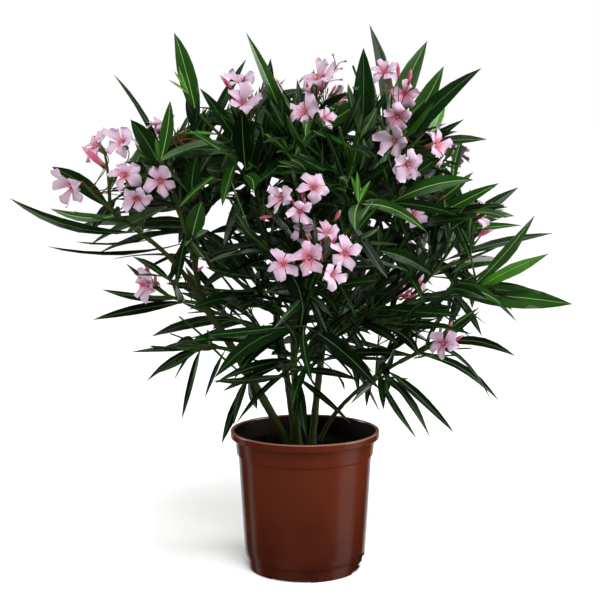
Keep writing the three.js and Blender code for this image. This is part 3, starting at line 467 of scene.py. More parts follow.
class Plant:
    """The whole plant above the soil, grown by one rule: first as in the solid model, then finer."""

    MIDDLE_SHARES = np.array([0.2, 0.35, 0.5, 0.65, 0.8, 0.9, 1])

    def __init__(self):
        self.limbs = {}
        for name, plan in LIMBS.items():
            foot = plan.get("foot")
            if foot is None:
                parent = self.limbs[plan["on"]]
                foot = parent.point(parent.share_at(plan.get("at", 1)))
            self.limbs[name] = Bow(foot, plan["bend"], plan["tip"])
        self.limb_pieces = [(curve.pieces(6), LIMBS[name]["r"][0]) for name, curve in self.limbs.items()]
        self.masses = {name: Mass(name, plan, self.limbs) for name, plan in MASSES.items()}
        for mass in self.masses.values():
            self.grow_side_twigs(mass)
        for mass in self.masses.values():
            mass.foreign = self.others_axes(mass)
        for mass in self.masses.values():
            for leaf in mass.long:
                if self.leaf_fits(mass, leaf):
                    mass.keep(leaf)
            for index, twig in enumerate(mass.twigs):
                self.grow_whorls(mass, twig, index)

    def others_axes(self, mass):
        return np.concatenate([other.axes for other in self.masses.values() if other is not mass])

    def off_pot(self, points):
        radius = np.hypot(points[:, 0], points[:, 1])
        inside = (radius < 84) & (points[:, 2] > SOIL_TOP + 6)
        return (points[:, 2] > POT["height"] + 4) | (radius > POT["lip_radius"] + 8) | inside

    def off_limbs(self, points, margin):
        return np.all([distances(p, points) >= r + margin for p, r in self.limb_pieces], axis=0)

    def off_blooms(self, masses, points, share, margin):
        clear = np.ones(len(points), bool)
        for mass in masses:
            for bloom in mass.blooms:
                near = np.linalg.norm(points - bloom.centre, axis=1)
                clear &= near >= BLOOM["radius"] * bloom.size * share + margin
        return clear

    def in_own_space(self, mass, points, foreign):
        """Nearer to the mass's own twigs and long leaves than to another mass's, and clear of limbs."""
        clear = distances(foreign, points) >= distances(mass.axes, points) + SPACE["margin"]
        others = [other for other in self.masses.values() if other is not mass]
        clear &= self.off_blooms(others, points, 1, SPACE["bloom"])
        clear &= self.off_limbs(points, SPACE["limb"])
        return bool(np.all(clear & self.off_pot(points)))

    def in_crown(self, point, shrink=1.0):
        x, y, high = (point - CROWN["middle"]) / shrink
        level = math.hypot(x / CROWN["across"], y / CROWN["deep"])
        power = CROWN["round_above"] if high > 0 else CROWN["round_below"]
        room = CROWN["above"] if high > 0 else CROWN["below"]
        return level**power + abs(high / room) ** power < 1

    def leaf_fits(self, mass, leaf):
        """True if a leaf keeps to its mass's space and off that mass's other leaves and flowers."""
        middle = leaf.curve.point(self.MIDDLE_SHARES)
        plan = LEAF["long_sections"] if leaf in mass.long else LEAF["sections"]
        sections = [leaf.section(*section) for section in plan]
        outer = middle[2:]
        spread = np.concatenate([outer, sections[-1]])
        if len(mass.taken) and np.any(distances(mass.taken, spread) < LEAF["apart"]):
            return False
        if np.any(distances(mass.bars, outer) < LEAF["apart"]):
            return False
        if not np.all(self.off_blooms([mass], spread, 1, 0)):
            return False
        return self.in_own_space(mass, np.concatenate([middle, *sections]), mass.foreign)

    def grow_side_twigs(self, mass):
        main = mass.twigs[0]
        foreign = self.others_axes(mass)
        for i in range(mass.sides):
            at = between(SIDE_TWIG["start"], SIDE_TWIG["end"], (i + 0.5) / mass.sides)
            root, along = main.point(at), main.tangent(at)
            for attempt in range(SIDE_TWIG["attempts"]):
                turn = 2 * math.pi * (chance(mass.seed, 500 + i) + 0.38 * i + attempt * 0.381966)
                heading, way = leaning(along, SIDE_TWIG["angle"], turn)
                heading[2] = max(heading[2], 0.1)
                length = (main.length * SIDE_TWIG["share"] + 24) * (1 - attempt * SIDE_TWIG["shrink"])
                tip = root + unit(heading) * length
                twig = Bow(root, root + 0.55 * (tip - root) + way * length * 0.08, tip)
                if self.in_own_space(mass, twig.point(np.array([0.5, 0.75, 1])), foreign):
                    mass.twigs.append(twig)
                    break
        for twig in mass.twigs[1:]:
            mass.axes = np.concatenate([mass.axes, twig.pieces(2)])
            mass.bars = np.concatenate([mass.bars, twig.pieces(2)])

    def whorl_plan(self, twig, index):
        """Where the first whorl of a twig stands, as a share of its length, and how many there are."""
        first = LEAF["first_whorl"] * (LEAF["side_first"] if index else 1)
        return first / twig.length, max(2, math.floor((twig.length - first) / LEAF["internode"] + 0.5) + 1)

    def grow_whorls(self, mass, twig, index):
        first, whorls = self.whorl_plan(twig, index)
        for w in range(whorls):
            at = between(first, 1, w / (whorls - 1))
            along = twig.tangent(twig.share_at(min(at, 1)))
            root = twig.point(twig.share_at(min(at, 0.97)))
            for j in range(LEAF["per_whorl"]):
                count = index * 100 + w * 10 + j
                luck = chance(mass.seed, count)
                turn = 2 * math.pi * (j / LEAF["per_whorl"] + w / 6 + 0.07 * (luck - 0.5)) + mass.seed
                swing = chance(mass.seed, count + 50)
                if not self.add_leaf(mass, root, along, turn, at, luck, swing):
                    mass.tufts.append((root, along, turn, at, luck, swing))

    def whorl_heading(self, along, turn, at, swing):
        """Leaves stand off their shoot less and less towards its tip."""
        angle = between(LEAF["low_angle"], LEAF["tip_angle"], at) + LEAF["angle_spread"] * (swing - 0.5)
        return leaning(along, angle, turn)[0]

    def add_leaf(self, mass, root, along, turn, at, luck, swing):
        """Tries a leaf at its full length, then swung aside, shorter and closer to its twig."""
        heading = self.whorl_heading(along, turn, at, swing)
        length = mass.leaf * between(0.85, 1.15, luck) * between(1, 0.8, at)
        sag = between(LEAF["low_sag"], LEAF["tip_sag"], at)
        for effort, aside in LEAF["tries"]:
            turned = turned_about(heading, along, aside)
            turned = turned + (along - turned) * effort * 0.6 - UP * sag
            grown = length * (1 - effort * 0.8)
            if grown < LEAF["shortest"]:
                return False
            leaf = Leaf(root, root + unit(turned) * grown, sag * LEAF["arch_of_sag"], along)
            if self.in_crown(leaf.tip) and self.leaf_fits(mass, leaf):
                mass.keep(leaf)
                return True
        return False


# ---------------------------------------------------------------- the rule carried to finer growth
FINE = dict(
    apart=5.0, look_round=90, shrink=0.97, efforts=[1, 0.86], swings=[0, 0.45, -0.45],
    shortest=54, between=0.95,
    twigs=[2, 1], twig_lean=42, twig_length=[44, 76], node_gap=26,
    leaf_share=[0.66, 0.92], leaf_lean=[66, 34],
    lean_spread=14, leaf_sag=0.12, tuft=4, tuft_length=[30, 64], tuft_lean=[10, 26],
    face_behind=6, face_clear=75, face_share=0.95, outward=0.45,
    slim=0.62, slim_levels=[330, 540], low_longer=1.2, low_sag=1.5, tuft_above=440,
)
# Shoots that lean into the middle of the crown, where the plan has no bough: the depth of that hollow, and
# how far off it a shoot may start.
HOLLOW = dict(depth=76, offs=[24, 150], levels=[340, 690], shares=[0.35, 0.65, 0.95], past=14, lift=0.3)
NOD = 0.42  # how far an open flower may turn from the way that its solid faces


class FinePlant(Plant):
    """The same plant with the whorls between, finer twigs and the tufts of young leaves at their ends."""

    def __init__(self):
        super().__init__()
        for name, looks in TURNED_BLOOMS.items():
            for row, (turn, rise, size) in looks.items():
                bloom = self.masses[name].blooms[row]
                bloom.size = size
                bloom.look(turn, rise)
        for name, plan in MORE_BLOOMS:
            mass = self.masses[name]
            mass.blooms.append(Bloom(plan, mass.twigs[0], 0.9))
        blooms = [bloom for mass in self.masses.values() for bloom in mass.blooms]
        for i, bloom in enumerate(blooms):
            bloom.nod(np.array([chance(23, 3 * i + k) - 0.5 for k in range(3)]) * 2 * NOD)
        self.faces = (
            np.array([bloom.centre for bloom in blooms]),
            np.array([bloom.axis for bloom in blooms]),
            np.array([bloom.size * BLOOM["radius"] for bloom in blooms]),
        )
        self.filled = np.concatenate([mass.taken for mass in self.masses.values()])
        self.named = []
        self.grow_named_shoots()
        self.sights = self.sight_lines()
        self.shape_outline()
        for mass in self.masses.values():
            self.fill_skipped(mass)
            for index, twig in enumerate(mass.twigs):
                self.grow_between(mass, twig, index)
        for mass in self.masses.values():
            self.fill_hollow(mass)
            for index, twig in enumerate(mass.twigs):
                self.grow_fine_twigs(mass, twig, index)
        for mass in self.masses.values():
            for index, twig in enumerate(mass.twigs + mass.fine_twigs):
                if (index > 0 or not mass.blooms) and twig.tip[2] > FINE["tuft_above"]:
                    self.grow_tuft(mass, twig, 4000 + index * 10)

    def shape_outline(self):
        """Gives the long leaves their own look and takes the others out of the openings."""
        for name, mass in self.masses.items():
            looks = OUTLINE_LEAVES.get(name, {})
            for row, leaf in enumerate(mass.long):
                arch, leaf.show, broad, leaf.tone, *aside = looks.get(row, [leaf.arch, 1, 1, None])
                leaf.broad = broad * BLADE["outline"]
                bend = (leaf.root + leaf.tip) / 2 + UP * arch * leaf.length
                leaf.curve = Bow(leaf.root, bend + np.array([sum(aside), 0, 0]), leaf.tip)
            chosen = mass.long + self.named
            mass.leaves = [leaf for leaf in mass.leaves if leaf in chosen or self.may_stand(leaf)]
            for leaf in mass.leaves:
                if leaf not in chosen:
                    self.slim(leaf)

    def grow_named_shoots(self):
        for name, at, end, leaves in SHOOTS:
            mass = self.masses[name]
            root = mass.twigs[0].point(at)
            shoot = Bow(root, (root + end) / 2 - UP * 5, end)
            mass.fine_twigs.append(shoot)
            for *tip, arch, broad, tone in leaves:
                leaf = Leaf(shoot.tip, np.array(tip, float), arch, shoot.tangent(1.0))
                leaf.show, leaf.broad, leaf.tone = 1.0, broad, tone
                mass.leaves.append(leaf)
                self.named.append(leaf)
                self.filled = np.concatenate([self.filled, leaf.curve.pieces(3)])

    def slim(self, leaf):
        """Low leaves are narrow, high ones broad."""
        low, high = FINE["slim_levels"]
        leaf.broad = between(FINE["slim"], 1.05, min(1, max(0, (leaf.root[2] - low) / (high - low))))

    def in_sky(self, leaf):
        """True if a leaf stands in one of the openings, as seen from the front."""
        eye = np.array(SKY["eye"], float)
        points = leaf.curve.point(np.linspace(0.25, 1, 10)) - eye
        seen = eye[[0, 2]] + points[:, [0, 2]] * -eye[1] / points[:, [1]]
        x, z, across, up = np.array(SKY["gaps"], float).T
        return bool(np.any(np.hypot((seen[:, :1] - x) / across, (seen[:, 1:] - z) / up) < 1))

    def sight_lines(self):
        """Straight lines from the front to the boughs and leaves that show between the others."""
        ends = [leaf.curve.point(np.array([0.4, 0.65, 0.9])) for leaf in self.named]
        for name, (start, end) in BARE["limbs"].items():
            ends.append(self.limbs[name].point(np.linspace(start, end, BARE["count"])))
        ends = np.concatenate(ends)
        return np.stack([np.broadcast_to(np.array(SKY["eye"], float), ends.shape), ends], axis=1)

    def may_stand(self, leaf):
        """True if a leaf leaves the openings free and hides no bough that shows."""
        points = leaf.curve.point(np.linspace(0.12, 1, 12))
        return not self.in_sky(leaf) and not np.any(distances(self.sights, points) < BARE["clear"])

    def off_faces(self, points):
        """Clear of every open flower and of the way that it faces."""
        centres, axes, radii = self.faces
        off = points[:, None] - centres
        ahead = np.sum(off * axes, axis=2)
        aside = np.linalg.norm(off - ahead[..., None] * axes, axis=2)
        level = (ahead > -FINE["face_behind"]) & (ahead < FINE["face_clear"])
        return not np.any(level & (aside < radii * FINE["face_share"]))

    def fine_leaf_fits(self, leaf):
        middle = leaf.curve.point(self.MIDDLE_SHARES)
        if not self.in_crown(leaf.tip, FINE["shrink"]) or not self.off_faces(middle[1:]):
            return False
        if not np.all(self.off_pot(middle)) or not np.all(self.off_limbs(middle[2:], 2)):
            return False
        near = np.linalg.norm(self.filled[:, 0] - middle[3], axis=1) < leaf.length + FINE["look_round"]
        if near.any() and np.any(distances(self.filled[near], middle[2:]) < FINE["apart"]):
            return False
        return self.may_stand(leaf)

    def try_fine(self, mass, root, heading, along, length, sag, age):
        out = (root - CROWN["middle"]) * [1, 1, 0]
        heading = unit(heading + unit(out) * FINE["outward"])
        if root[2] < FINE["slim_levels"][0] + 60:
            length, sag = length * FINE["low_longer"], sag * FINE["low_sag"]
        for effort in FINE["efforts"]:
            for swing in FINE["swings"]:
                grown = length * effort
                if grown < FINE["shortest"]:
                    return False
                way = unit(turned_about(heading, along, swing) - UP * sag)
                leaf = Leaf(root, root + way * grown, sag * LEAF["arch_of_sag"], along, age)
                if self.fine_leaf_fits(leaf):
                    self.slim(leaf)
                    self.filled = np.concatenate([self.filled, leaf.curve.pieces(2)])
                    mass.leaves.append(leaf)
                    return True
        return False

    def whorl_leaf(self, mass, root, along, turn, at, luck, swing, share):
        heading = self.whorl_heading(along, turn, at, swing)
        length = mass.leaf * share * between(0.85, 1.1, luck) * between(1, 0.8, at)
        sag = between(LEAF["low_sag"], LEAF["tip_sag"], at) * between(0.6, 1.2, luck)
        self.try_fine(mass, root, heading, along, length, sag, 0.8)

    def fill_skipped(self, mass):
        for root, along, turn, at, luck, swing in mass.tufts:
            self.whorl_leaf(mass, root, along, turn, at, luck, swing, 1.0)

    def grow_between(self, mass, twig, index):
        first, whorls = self.whorl_plan(twig, index)
        for w in range(whorls - 1):
            at = between(first, 1, (w + 0.5) / (whorls - 1))
            share = twig.share_at(at)
            root, along = twig.point(share), twig.tangent(share)
            for j in range(LEAF["per_whorl"]):
                count = 2000 + index * 100 + w * 10 + j
                luck, swing = chance(mass.seed, count), chance(mass.seed, count + 50)
                turn = 2 * math.pi * ((j + 0.25) / LEAF["per_whorl"] + (w + 0.5) / 6) + mass.seed
                self.whorl_leaf(mass, root, along, turn, at, luck, swing, FINE["between"])

    def grow_fine_twigs(self, mass, twig, index):
        count = FINE["twigs"][min(index, 1)]
        for i in range(count):
            number = 3000 + index * 100 + i * 10
            luck = chance(mass.seed, number)
            share = twig.share_at(between(0.3, 0.92, (i + luck * 0.6) / count))
            root, along = twig.point(share), twig.tangent(share)
            turn = 2 * math.pi * (0.618 * (i + 1) + luck) + mass.seed
            heading, way = leaning(along, FINE["twig_lean"], turn)
            heading[2] = max(heading[2], 0.05)
            length = between(*FINE["twig_length"], chance(mass.seed, number + 1))
            tip = root + unit(heading) * length
            fine = Bow(root, root + 0.5 * (tip - root) + way * length * 0.07, tip)
            spots = fine.point(np.array([0.4, 0.7, 1]))
            if self.in_crown(tip, 0.9) and self.off_faces(spots) and np.all(self.off_pot(spots)):
                mass.fine_twigs.append(fine)
                self.dress_fine_twig(mass, fine, number + 2)

    def fill_hollow(self, mass):
        """Shoots from the main twig into the middle of the crown."""
        twig = mass.twigs[0]
        near, far = HOLLOW["offs"]
        low, high = HOLLOW["levels"]
        for i, at in enumerate(HOLLOW["shares"]):
            root = twig.point(twig.share_at(at))
            off = HOLLOW["depth"] - root[1]
            if not near < abs(off) < far or not low < root[2] < high:
                continue
            luck = chance(mass.seed, 3900 + i)
            heading = np.array([luck - 0.5, math.copysign(1, off), HOLLOW["lift"]])
            tip = root + heading * (min(abs(off), 90) + HOLLOW["past"])
            shoot = Bow(root, (root + tip) / 2 + UP * 6, tip)
            spots = shoot.point(np.array([0.4, 0.7, 1]))
            if self.in_crown(tip, 0.9) and self.off_faces(spots) and np.all(self.off_pot(spots)):
                mass.fine_twigs.append(shoot)
                self.dress_fine_twig(mass, shoot, 3950 + i)

    def dress_fine_twig(self, mass, twig, number):
        nodes = max(2, round(twig.length / FINE["node_gap"]))
        for w in range(1, nodes):
            at = w / nodes
            share = twig.share_at(at)
            along = twig.tangent(share)
            for j in range(LEAF["per_whorl"]):
                luck = chance(mass.seed, number * 10 + w * 3 + j)
                turn = 2 * math.pi * (j / LEAF["per_whorl"] + w / 6) + number
                angle = between(*FINE["leaf_lean"], at) + FINE["lean_spread"] * (luck - 0.5)
                heading, _ = leaning(along, angle, turn)
                size = chance(mass.seed, number * 10 + w * 3 + j + 5)
                length = mass.leaf * between(*FINE["leaf_share"], size)
                self.try_fine(mass, twig.point(share), heading, along, length, FINE["leaf_sag"], 0.6)

    def grow_tuft(self, mass, twig, number):
        """Young leaves that stand close together at the end of a shoot."""
        along = twig.tangent(1.0)
        for j in range(FINE["tuft"]):
            luck = chance(mass.seed, number + j)
            angle = between(*FINE["tuft_lean"], j / (FINE["tuft"] - 1))
            heading, _ = leaning(along, angle, STEP_ROUND * j + number)
            length = between(*FINE["tuft_length"], luck)
            leaf = Leaf(twig.tip, twig.tip + unit(heading) * length, 0.02, along, 0.0)
            middle = leaf.curve.point(self.MIDDLE_SHARES)
            inside = self.in_crown(leaf.tip, FINE["shrink"]) and self.may_stand(leaf)
            if inside and self.off_faces(middle) and np.all(self.off_pot(middle)):
                mass.leaves.append(leaf)


# ---------------------------------------------------------------- joined meshes from arrays
class Gathering:
    """Points in millimetres and faces, gathered into one joined mesh."""

    def __init__(self):
        self.points, self.faces, self.slots = [], [], []
        self.count = 0

    def add(self, points, faces, slots):
        """Faces and slots are lists of like length: arrays of corners, and an index or an array for each."""
        points = np.asarray(points, float).reshape(-1, 3)
        for corners, slot in zip(faces, slots):
            corners = np.asarray(corners, int)
            self.faces.append(corners + self.count)
            self.slots.append(np.broadcast_to(slot, len(corners)).astype(int))
        self.points.append(points)
        self.count += len(points)

    def place(self, form, axes, middle, size, tints=None):
        """A copy of a form, turned to its own axes, grown and moved, in its own finishes where given."""
        slots = form.slots if tints is None else [tints[slot] for slot in form.slots]
        self.add(np.concatenate(form.points) @ axes * size + middle, form.faces, slots)

    def piece(self, name, materials, angle=50):
        points = np.concatenate(self.points) * MM
        corners = np.concatenate([face.ravel() for face in self.faces])
        sizes = np.concatenate([np.full(len(face), face.shape[1]) for face in self.faces])
        mesh = bpy.data.meshes.new(name)
        mesh.vertices.add(len(points))
        mesh.vertices.foreach_set("co", points.astype(np.float32).ravel())
        mesh.loops.add(len(corners))
        mesh.loops.foreach_set("vertex_index", corners.astype(np.int32))
        mesh.polygons.add(len(sizes))
        mesh.polygons.foreach_set("loop_start", (np.cumsum(sizes) - sizes).astype(np.int32))
        mesh.polygons.foreach_set("material_index", np.concatenate(self.slots).astype(np.int32))
        mesh.update(calc_edges=True)
        mesh.validate()
        for material in materials:
            mesh.materials.append(material)
        piece = bpy.data.objects.new(name, mesh)
        bpy.context.collection.objects.link(piece)
        smooth(piece, angle)
        return piece


def grid_faces(rows, columns, closed=False, start=0):
    """Corners of the quads of a grid of points, row by row."""
    faces = []
    for i in range(rows - 1):
        for j in range(columns if closed else columns - 1):
            a, b = start + i * columns + j, start + i * columns + (j + 1) % columns
            faces.append([a, b, b + columns, a + columns])
    return np.array(faces)


def closed_faces(rings, sides):
    """The quads between closed rings, and the two faces that shut the ends."""
    last = (rings - 1) * sides
    ends = np.array([list(range(sides))[::-1], list(range(last, last + sides))])
    return [grid_faces(rings, sides, closed=True), ends]


def tube(gathering, points, radii, sides, slot):
    """A closed tube of round rings through the points."""
    points, radii = np.asarray(points, float), np.asarray(radii, float)
    along = unit(np.gradient(points, axis=0))
    guide = np.eye(3)[np.argmin(np.abs(along).sum(axis=0))]
    out = unit(np.cross(along, guide))
    other = np.cross(along, out)
    turns = np.arange(sides) / sides * 2 * math.pi
    ring = out[:, None] * np.cos(turns)[:, None] + other[:, None] * np.sin(turns)[:, None]
    places = points[:, None] + ring * radii[:, None, None]
    gathering.add(places, closed_faces(len(points), sides), [slot, slot])


# ---------------------------------------------------------------- leaves
STATIONS = np.array([0, 0.05, 0.16, 0.3, 0.45, 0.6, 0.75, 0.88])
FULLNESS = np.array([0.1, 0.13, 0.5, 0.84, 1, 0.95, 0.73, 0.4])
BLADE = dict(
    width_fixed=2.0, width_share=0.152, widest=23, narrow=0.68, broad=1.16, rib=0.6, rib_end=0.25,
    shoulder=0.55, bulge=0.07, keel=0.6, keel_foot=1.1, twist=1.5, sickle=0.13, show=1.1, outline=0.84,
)
RING = 8  # corners round a blade: left edge to right edge over the top, then the keel below
# The finish of the strip after each corner: four tones of blade, two of rib and two of underside.
STRIP_SLOTS = np.array([
    [0, 0, 4, 0, 0, 6, 4, 6],
    [1, 1, 4, 1, 1, 6, 4, 6],
    [2, 2, 5, 2, 2, 7, 5, 7],
    [3, 3, 5, 3, 3, 7, 5, 7],
])


def leaf_faces():
    """Quads along the blade, triangles at its tip and one end face, each with the strip it belongs to."""
    quads, strips = [], []
    for k in range(len(STATIONS) - 1):
        for c in range(RING):
            a, b = k * RING + c, k * RING + (c + 1) % RING
            quads.append([a, b, b + RING, a + RING])
            strips.append(c)
    last, tip = (len(STATIONS) - 1) * RING, len(STATIONS) * RING
    ends = [[last + c, last + (c + 1) % RING, tip] for c in range(RING)]
    foot = np.array([list(range(RING))[::-1]])
    return np.array(quads), np.array(strips), np.array(ends), np.arange(RING), foot


def leaf_points(leaves, seed):
    """The corners of every blade at once, an array of leaves by corners by three."""
    count = len(leaves)
    foot = np.array([leaf.root for leaf in leaves])[:, None]
    bend = np.array([leaf.curve.bend for leaf in leaves])[:, None]
    tip = np.array([leaf.tip for leaf in leaves])[:, None]
    face = unit(np.array([leaf.face + leaf.show * BLADE["show"] * FRONT for leaf in leaves]))[:, None]
    length = np.array([leaf.length for leaf in leaves])[:, None]
    show = np.array([leaf.show for leaf in leaves])[:, None]
    half = np.minimum(BLADE["width_fixed"] + BLADE["width_share"] * length, BLADE["widest"]) / 2
    half = half * np.array([leaf.broad for leaf in leaves])[:, None]
    luck = np.array([[chance(seed + i, k) for k in range(5)] for i in range(count)])
    t = STATIONS[None, :, None]
    middle = (1 - t) ** 2 * foot + 2 * (1 - t) * t * bend + t**2 * tip
    along = unit((1 - t) * (bend - foot) + t * (tip - bend))
    across = unit(np.cross(along, face))
    top = np.cross(across, along)
    twist = ((luck[:, :1] - 0.5) * BLADE["twist"] * (1 - 0.7 * show) * STATIONS)[..., None]
    across, top = across * np.cos(twist) + top * np.sin(twist), top * np.cos(twist) - across * np.sin(twist)
    sickle = (luck[:, 1:2] - 0.5) * BLADE["sickle"] * length * np.sin(np.pi * STATIONS)
    middle = middle + across * sickle[..., None]
    half = half * between(between(BLADE["narrow"], BLADE["broad"], luck[:, 2:3]), 1, show) * FULLNESS
    fold = between(0.1, 0.34, luck[:, 3:4]) * half
    wave = half * 0.1 * np.sin(STATIONS * 11 + luck[:, 4:5] * 6.3)
    rib = np.minimum(between(BLADE["rib"], BLADE["rib_end"], STATIONS), half * 0.4)
    shoulder = half * BLADE["shoulder"]
    high = fold * BLADE["shoulder"] + half * BLADE["bulge"]
    keel = between(BLADE["keel_foot"], BLADE["keel"], np.minimum(STATIONS * 4, 1)) + 0 * half
    sides = [-half, -shoulder, -rib, rib, shoulder, half, rib * 1.3, -rib * 1.3]
    heights = [fold + wave, high, 0 * half, 0 * half, high, fold - wave, -keel, -keel]
    corners = [middle + across * x[..., None] + top * z[..., None] for x, z in zip(sides, heights)]
    rings = np.stack(corners, axis=2).reshape(count, -1, 3)
    return np.concatenate([rings, tip], axis=1)


def leaf_tone(leaf, luck):
    """Low and inner leaves are deep in colour, painted shade where the crown shades them, and outer, higher
    ones lighter, painted light; the ends of shoots are bright.
    """
    if leaf.tone is not None:
        return leaf.tone
    if leaf.age < 0.3:
        return 3 if luck > 0.72 else 2 if luck > 0.35 else 1
    # Painted shade and painted light: the tone rises with distance from the crown's middle and with height.
    x, y, z = leaf.curve.point(0.6) - CROWN["middle"]
    outer = math.hypot(x / CROWN["across"], y / CROWN["deep"], z / CROWN["above"])
    light = 0.7 * outer + 0.0008 * z + 0.5 * (luck - 0.5)
    return 0 if light < 0.34 else 1 if light < 0.72 else 2 if light < 1.02 else 3


def gather_leaves(leaves, seed):
    quads, strips, ends, end_strips, cap = leaf_faces()
    points = leaf_points(leaves, seed)
    tones = np.array([leaf_tone(leaf, chance(seed + i, 9)) for i, leaf in enumerate(leaves)])
    slots = STRIP_SLOTS[tones]
    steps = (np.arange(len(leaves)) * points.shape[1])[:, None, None]
    gathering = Gathering()
    gathering.add(
        points,
        [(quads + steps).reshape(-1, 4), (ends + steps).reshape(-1, 3), (cap + steps).reshape(-1, RING)],
        [slots[:, strips].ravel(), slots[:, end_strips].ravel(), slots[:, 0]],
    )
    return gathering


# ---------------------------------------------------------------- flowers and buds
PETAL = dict(
    count=5, inner=3.6, outer=21.0, slant=3.6, round_end=5.2, pinwheel=2.8, cup=6.5, curl=6, ruffle=2.8,
    trough=0.9, teeth=0.7, thick=0.45, shut=[0.7, 2.4], droop=11, turn=5, stray=0.5,
)
PETAL_ROWS = np.array([0, 0.1, 0.24, 0.42, 0.6, 0.76, 0.9, 1])
PETAL_HALF = np.array([2.7, 3.5, 4.9, 6.6, 8.1, 8.9, 8.4, 5.6])
PETAL_COLUMNS = np.linspace(-1, 1, 7)
# Five tones from the rose of the throat to the pale end: by row, with deeper lines that fade along the petal.
ROW_TONES = np.array([1.0, 2.0, 2.9, 3.5, 4, 4, 4])
COLUMN_TONES = np.array([0.6, -1.3, 0.5, 0.5, -1.3, 0.6])
LINES_FADE = np.array([1, 1, 0.8, 0.5, 0.3, 0, 0])
PETAL_TONES = np.clip(np.round(ROW_TONES[:, None] + LINES_FADE[:, None] * COLUMN_TONES), 0, 4).astype(int)
# The finishes of the pinker flowers, of the usual ones and of the palest.
FLOWER_TINTS = np.array([[*petals, *range(5, 11)] for petals in ([0, 0, 1, 2, 3], range(5), [1, 2, 3, 4, 4])])
THROAT = [(4.5, -0.7), (3.2, -2.4), (1.6, -4.6)]
TUBE = [(1.6, -15), (2.3, -12), (3.4, -8), (4.4, -4), (5.2, -0.6)]
FRINGE = dict(count=18, radius=3.2, reach=[7, 13], height=[2.4, 4.8], width=0.55)
HEART = [(0.9, -4.8), (1.4, -1.6), (1.0, 0.8), (0.3, 3.2)]
SEPAL = dict(count=5, length=6.5, width=1.1, foot=-15.5, radius=1.7)


def petal_sheet(angle, seed, shut):
    """The middle places and heights of one petal: oblique at its end and turned like a pinwheel blade."""
    s, q = PETAL_ROWS[:, None], PETAL_COLUMNS[None, :]
    width = PETAL_HALF[:, None] * between(0.84, 1.1, chance(seed, 1))
    reach = PETAL["inner"] + (PETAL["outer"] - PETAL["inner"]) * s * between(0.84, 1.04, chance(seed, 2))
    reach = reach + PETAL["slant"] * q * s**2 - PETAL["round_end"] * np.abs(q) ** 3 * s**3
    reach = reach + PETAL["teeth"] * np.sin(q * 7 + 6 * chance(seed, 6)) * s**4
    lift = PETAL["cup"] * s**0.8 * between(0.5, 1.6, chance(seed, 5)) * shut
    lift = lift - PETAL["curl"] * s**3 * between(0.3, 1.8, chance(seed, 3))
    lift = lift + PETAL["droop"] * (chance(seed, 7) - 0.55) * s**1.3
    lift = lift + PETAL["turn"] * (2 * chance(seed, 8) - 1) * q * s + PETAL["pinwheel"] * q * s
    lift = lift + PETAL["ruffle"] * np.sin(q * 4 + 6 * chance(seed, 4)) * s**2
    lift = lift + PETAL["trough"] * q**2 * s
    x, y = reach + 0 * q, width * q
    c, d = math.cos(angle), math.sin(angle)
    return np.stack([x * c - y * d, x * d + y * c, lift - 1], axis=2)


def add_petal(form, angle, seed, shut):
    sheet = petal_sheet(angle, seed, shut)
    rows, columns = sheet.shape[:2]
    edge = 1 - 0.5 * np.abs(PETAL_COLUMNS)[None, :, None]
    back = sheet - np.array([0, 0, PETAL["thick"]]) * edge
    upper = grid_faces(rows, columns)
    lower = upper[:, ::-1] + rows * columns
    grid = np.arange(rows * columns).reshape(rows, columns)
    rim = np.concatenate([grid[:, 0], grid[-1, 1:], grid[-2::-1, -1], grid[0, -2:0:-1]])
    after = np.roll(rim, -1)
    sides = np.stack([rim, after, after + rows * columns, rim + rows * columns], axis=1)
    points = np.concatenate([sheet.reshape(-1, 3), back.reshape(-1, 3)])
    form.add(points, [upper, lower, sides], [PETAL_TONES.ravel(), 5, 4])


def turned_form(form, profile, sides, bands):
    """A closed turned piece on the flower's axis, from its foot up, with a finish for each of its bands."""
    turns = np.arange(sides) / sides * 2 * math.pi
    rings = [np.stack([r * np.cos(turns), r * np.sin(turns), 0 * turns + z], axis=1) for r, z in profile]
    ends = [bands[0], bands[-1]]
    form.add(np.concatenate(rings), closed_faces(len(profile), sides), [np.repeat(bands, sides), ends])


def add_spike(form, foot, tip, width, across, slot):
    """A thin four faced tooth."""
    foot, tip, across = np.array(foot, float), np.array(tip, float), np.array(across, float)
    out = unit(np.cross(across, tip - foot))
    corners = [foot - across * width, foot + across * width, foot + out * width, tip]
    form.add(corners, [np.array([[0, 2, 1], [0, 1, 3], [1, 2, 3], [2, 0, 3]])], [slot])


def flower_form(seed):
    """One open flower of radius 23 mm, its throat at the origin and its face towards +Z."""
    form = Gathering()
    shut = between(*PETAL["shut"], chance(seed, 90) ** 2)
    for k in range(PETAL["count"]):
        angle = 2 * math.pi * k / PETAL["count"] + PETAL["stray"] * (chance(seed, k) - 0.5)
        add_petal(form, angle, seed * 10 + k, shut)
    turned_form(form, [*TUBE, *THROAT], 12, [6, 6, 6, 3, 0, 0, 1])
    turned_form(form, HEART, 6, [8, 8, 8])
    for k in range(FRINGE["count"]):
        turn = 2 * math.pi * (k + 0.5 * chance(seed, 20 + k)) / FRINGE["count"]
        c, d = math.cos(turn), math.sin(turn)
        reach = between(*FRINGE["reach"], chance(seed, 40 + k))
        foot = [FRINGE["radius"] * c, FRINGE["radius"] * d, -1.2]
        tip = [reach * c, reach * d, between(*FRINGE["height"], chance(seed, 60 + k))]
        add_spike(form, foot, tip, FRINGE["width"], [-d, c, 0], 7)
    for k in range(SEPAL["count"]):
        turn = 2 * math.pi * (k + 0.5) / SEPAL["count"]
        c, d = math.cos(turn), math.sin(turn)
        foot = [SEPAL["radius"] * 0.7 * c, SEPAL["radius"] * 0.7 * d, SEPAL["foot"]]
        tip = [SEPAL["radius"] * 1.9 * c, SEPAL["radius"] * 1.9 * d, SEPAL["foot"] + SEPAL["length"]]
        add_spike(form, foot, tip, SEPAL["width"], [-d, c, 0], 9)
    return form


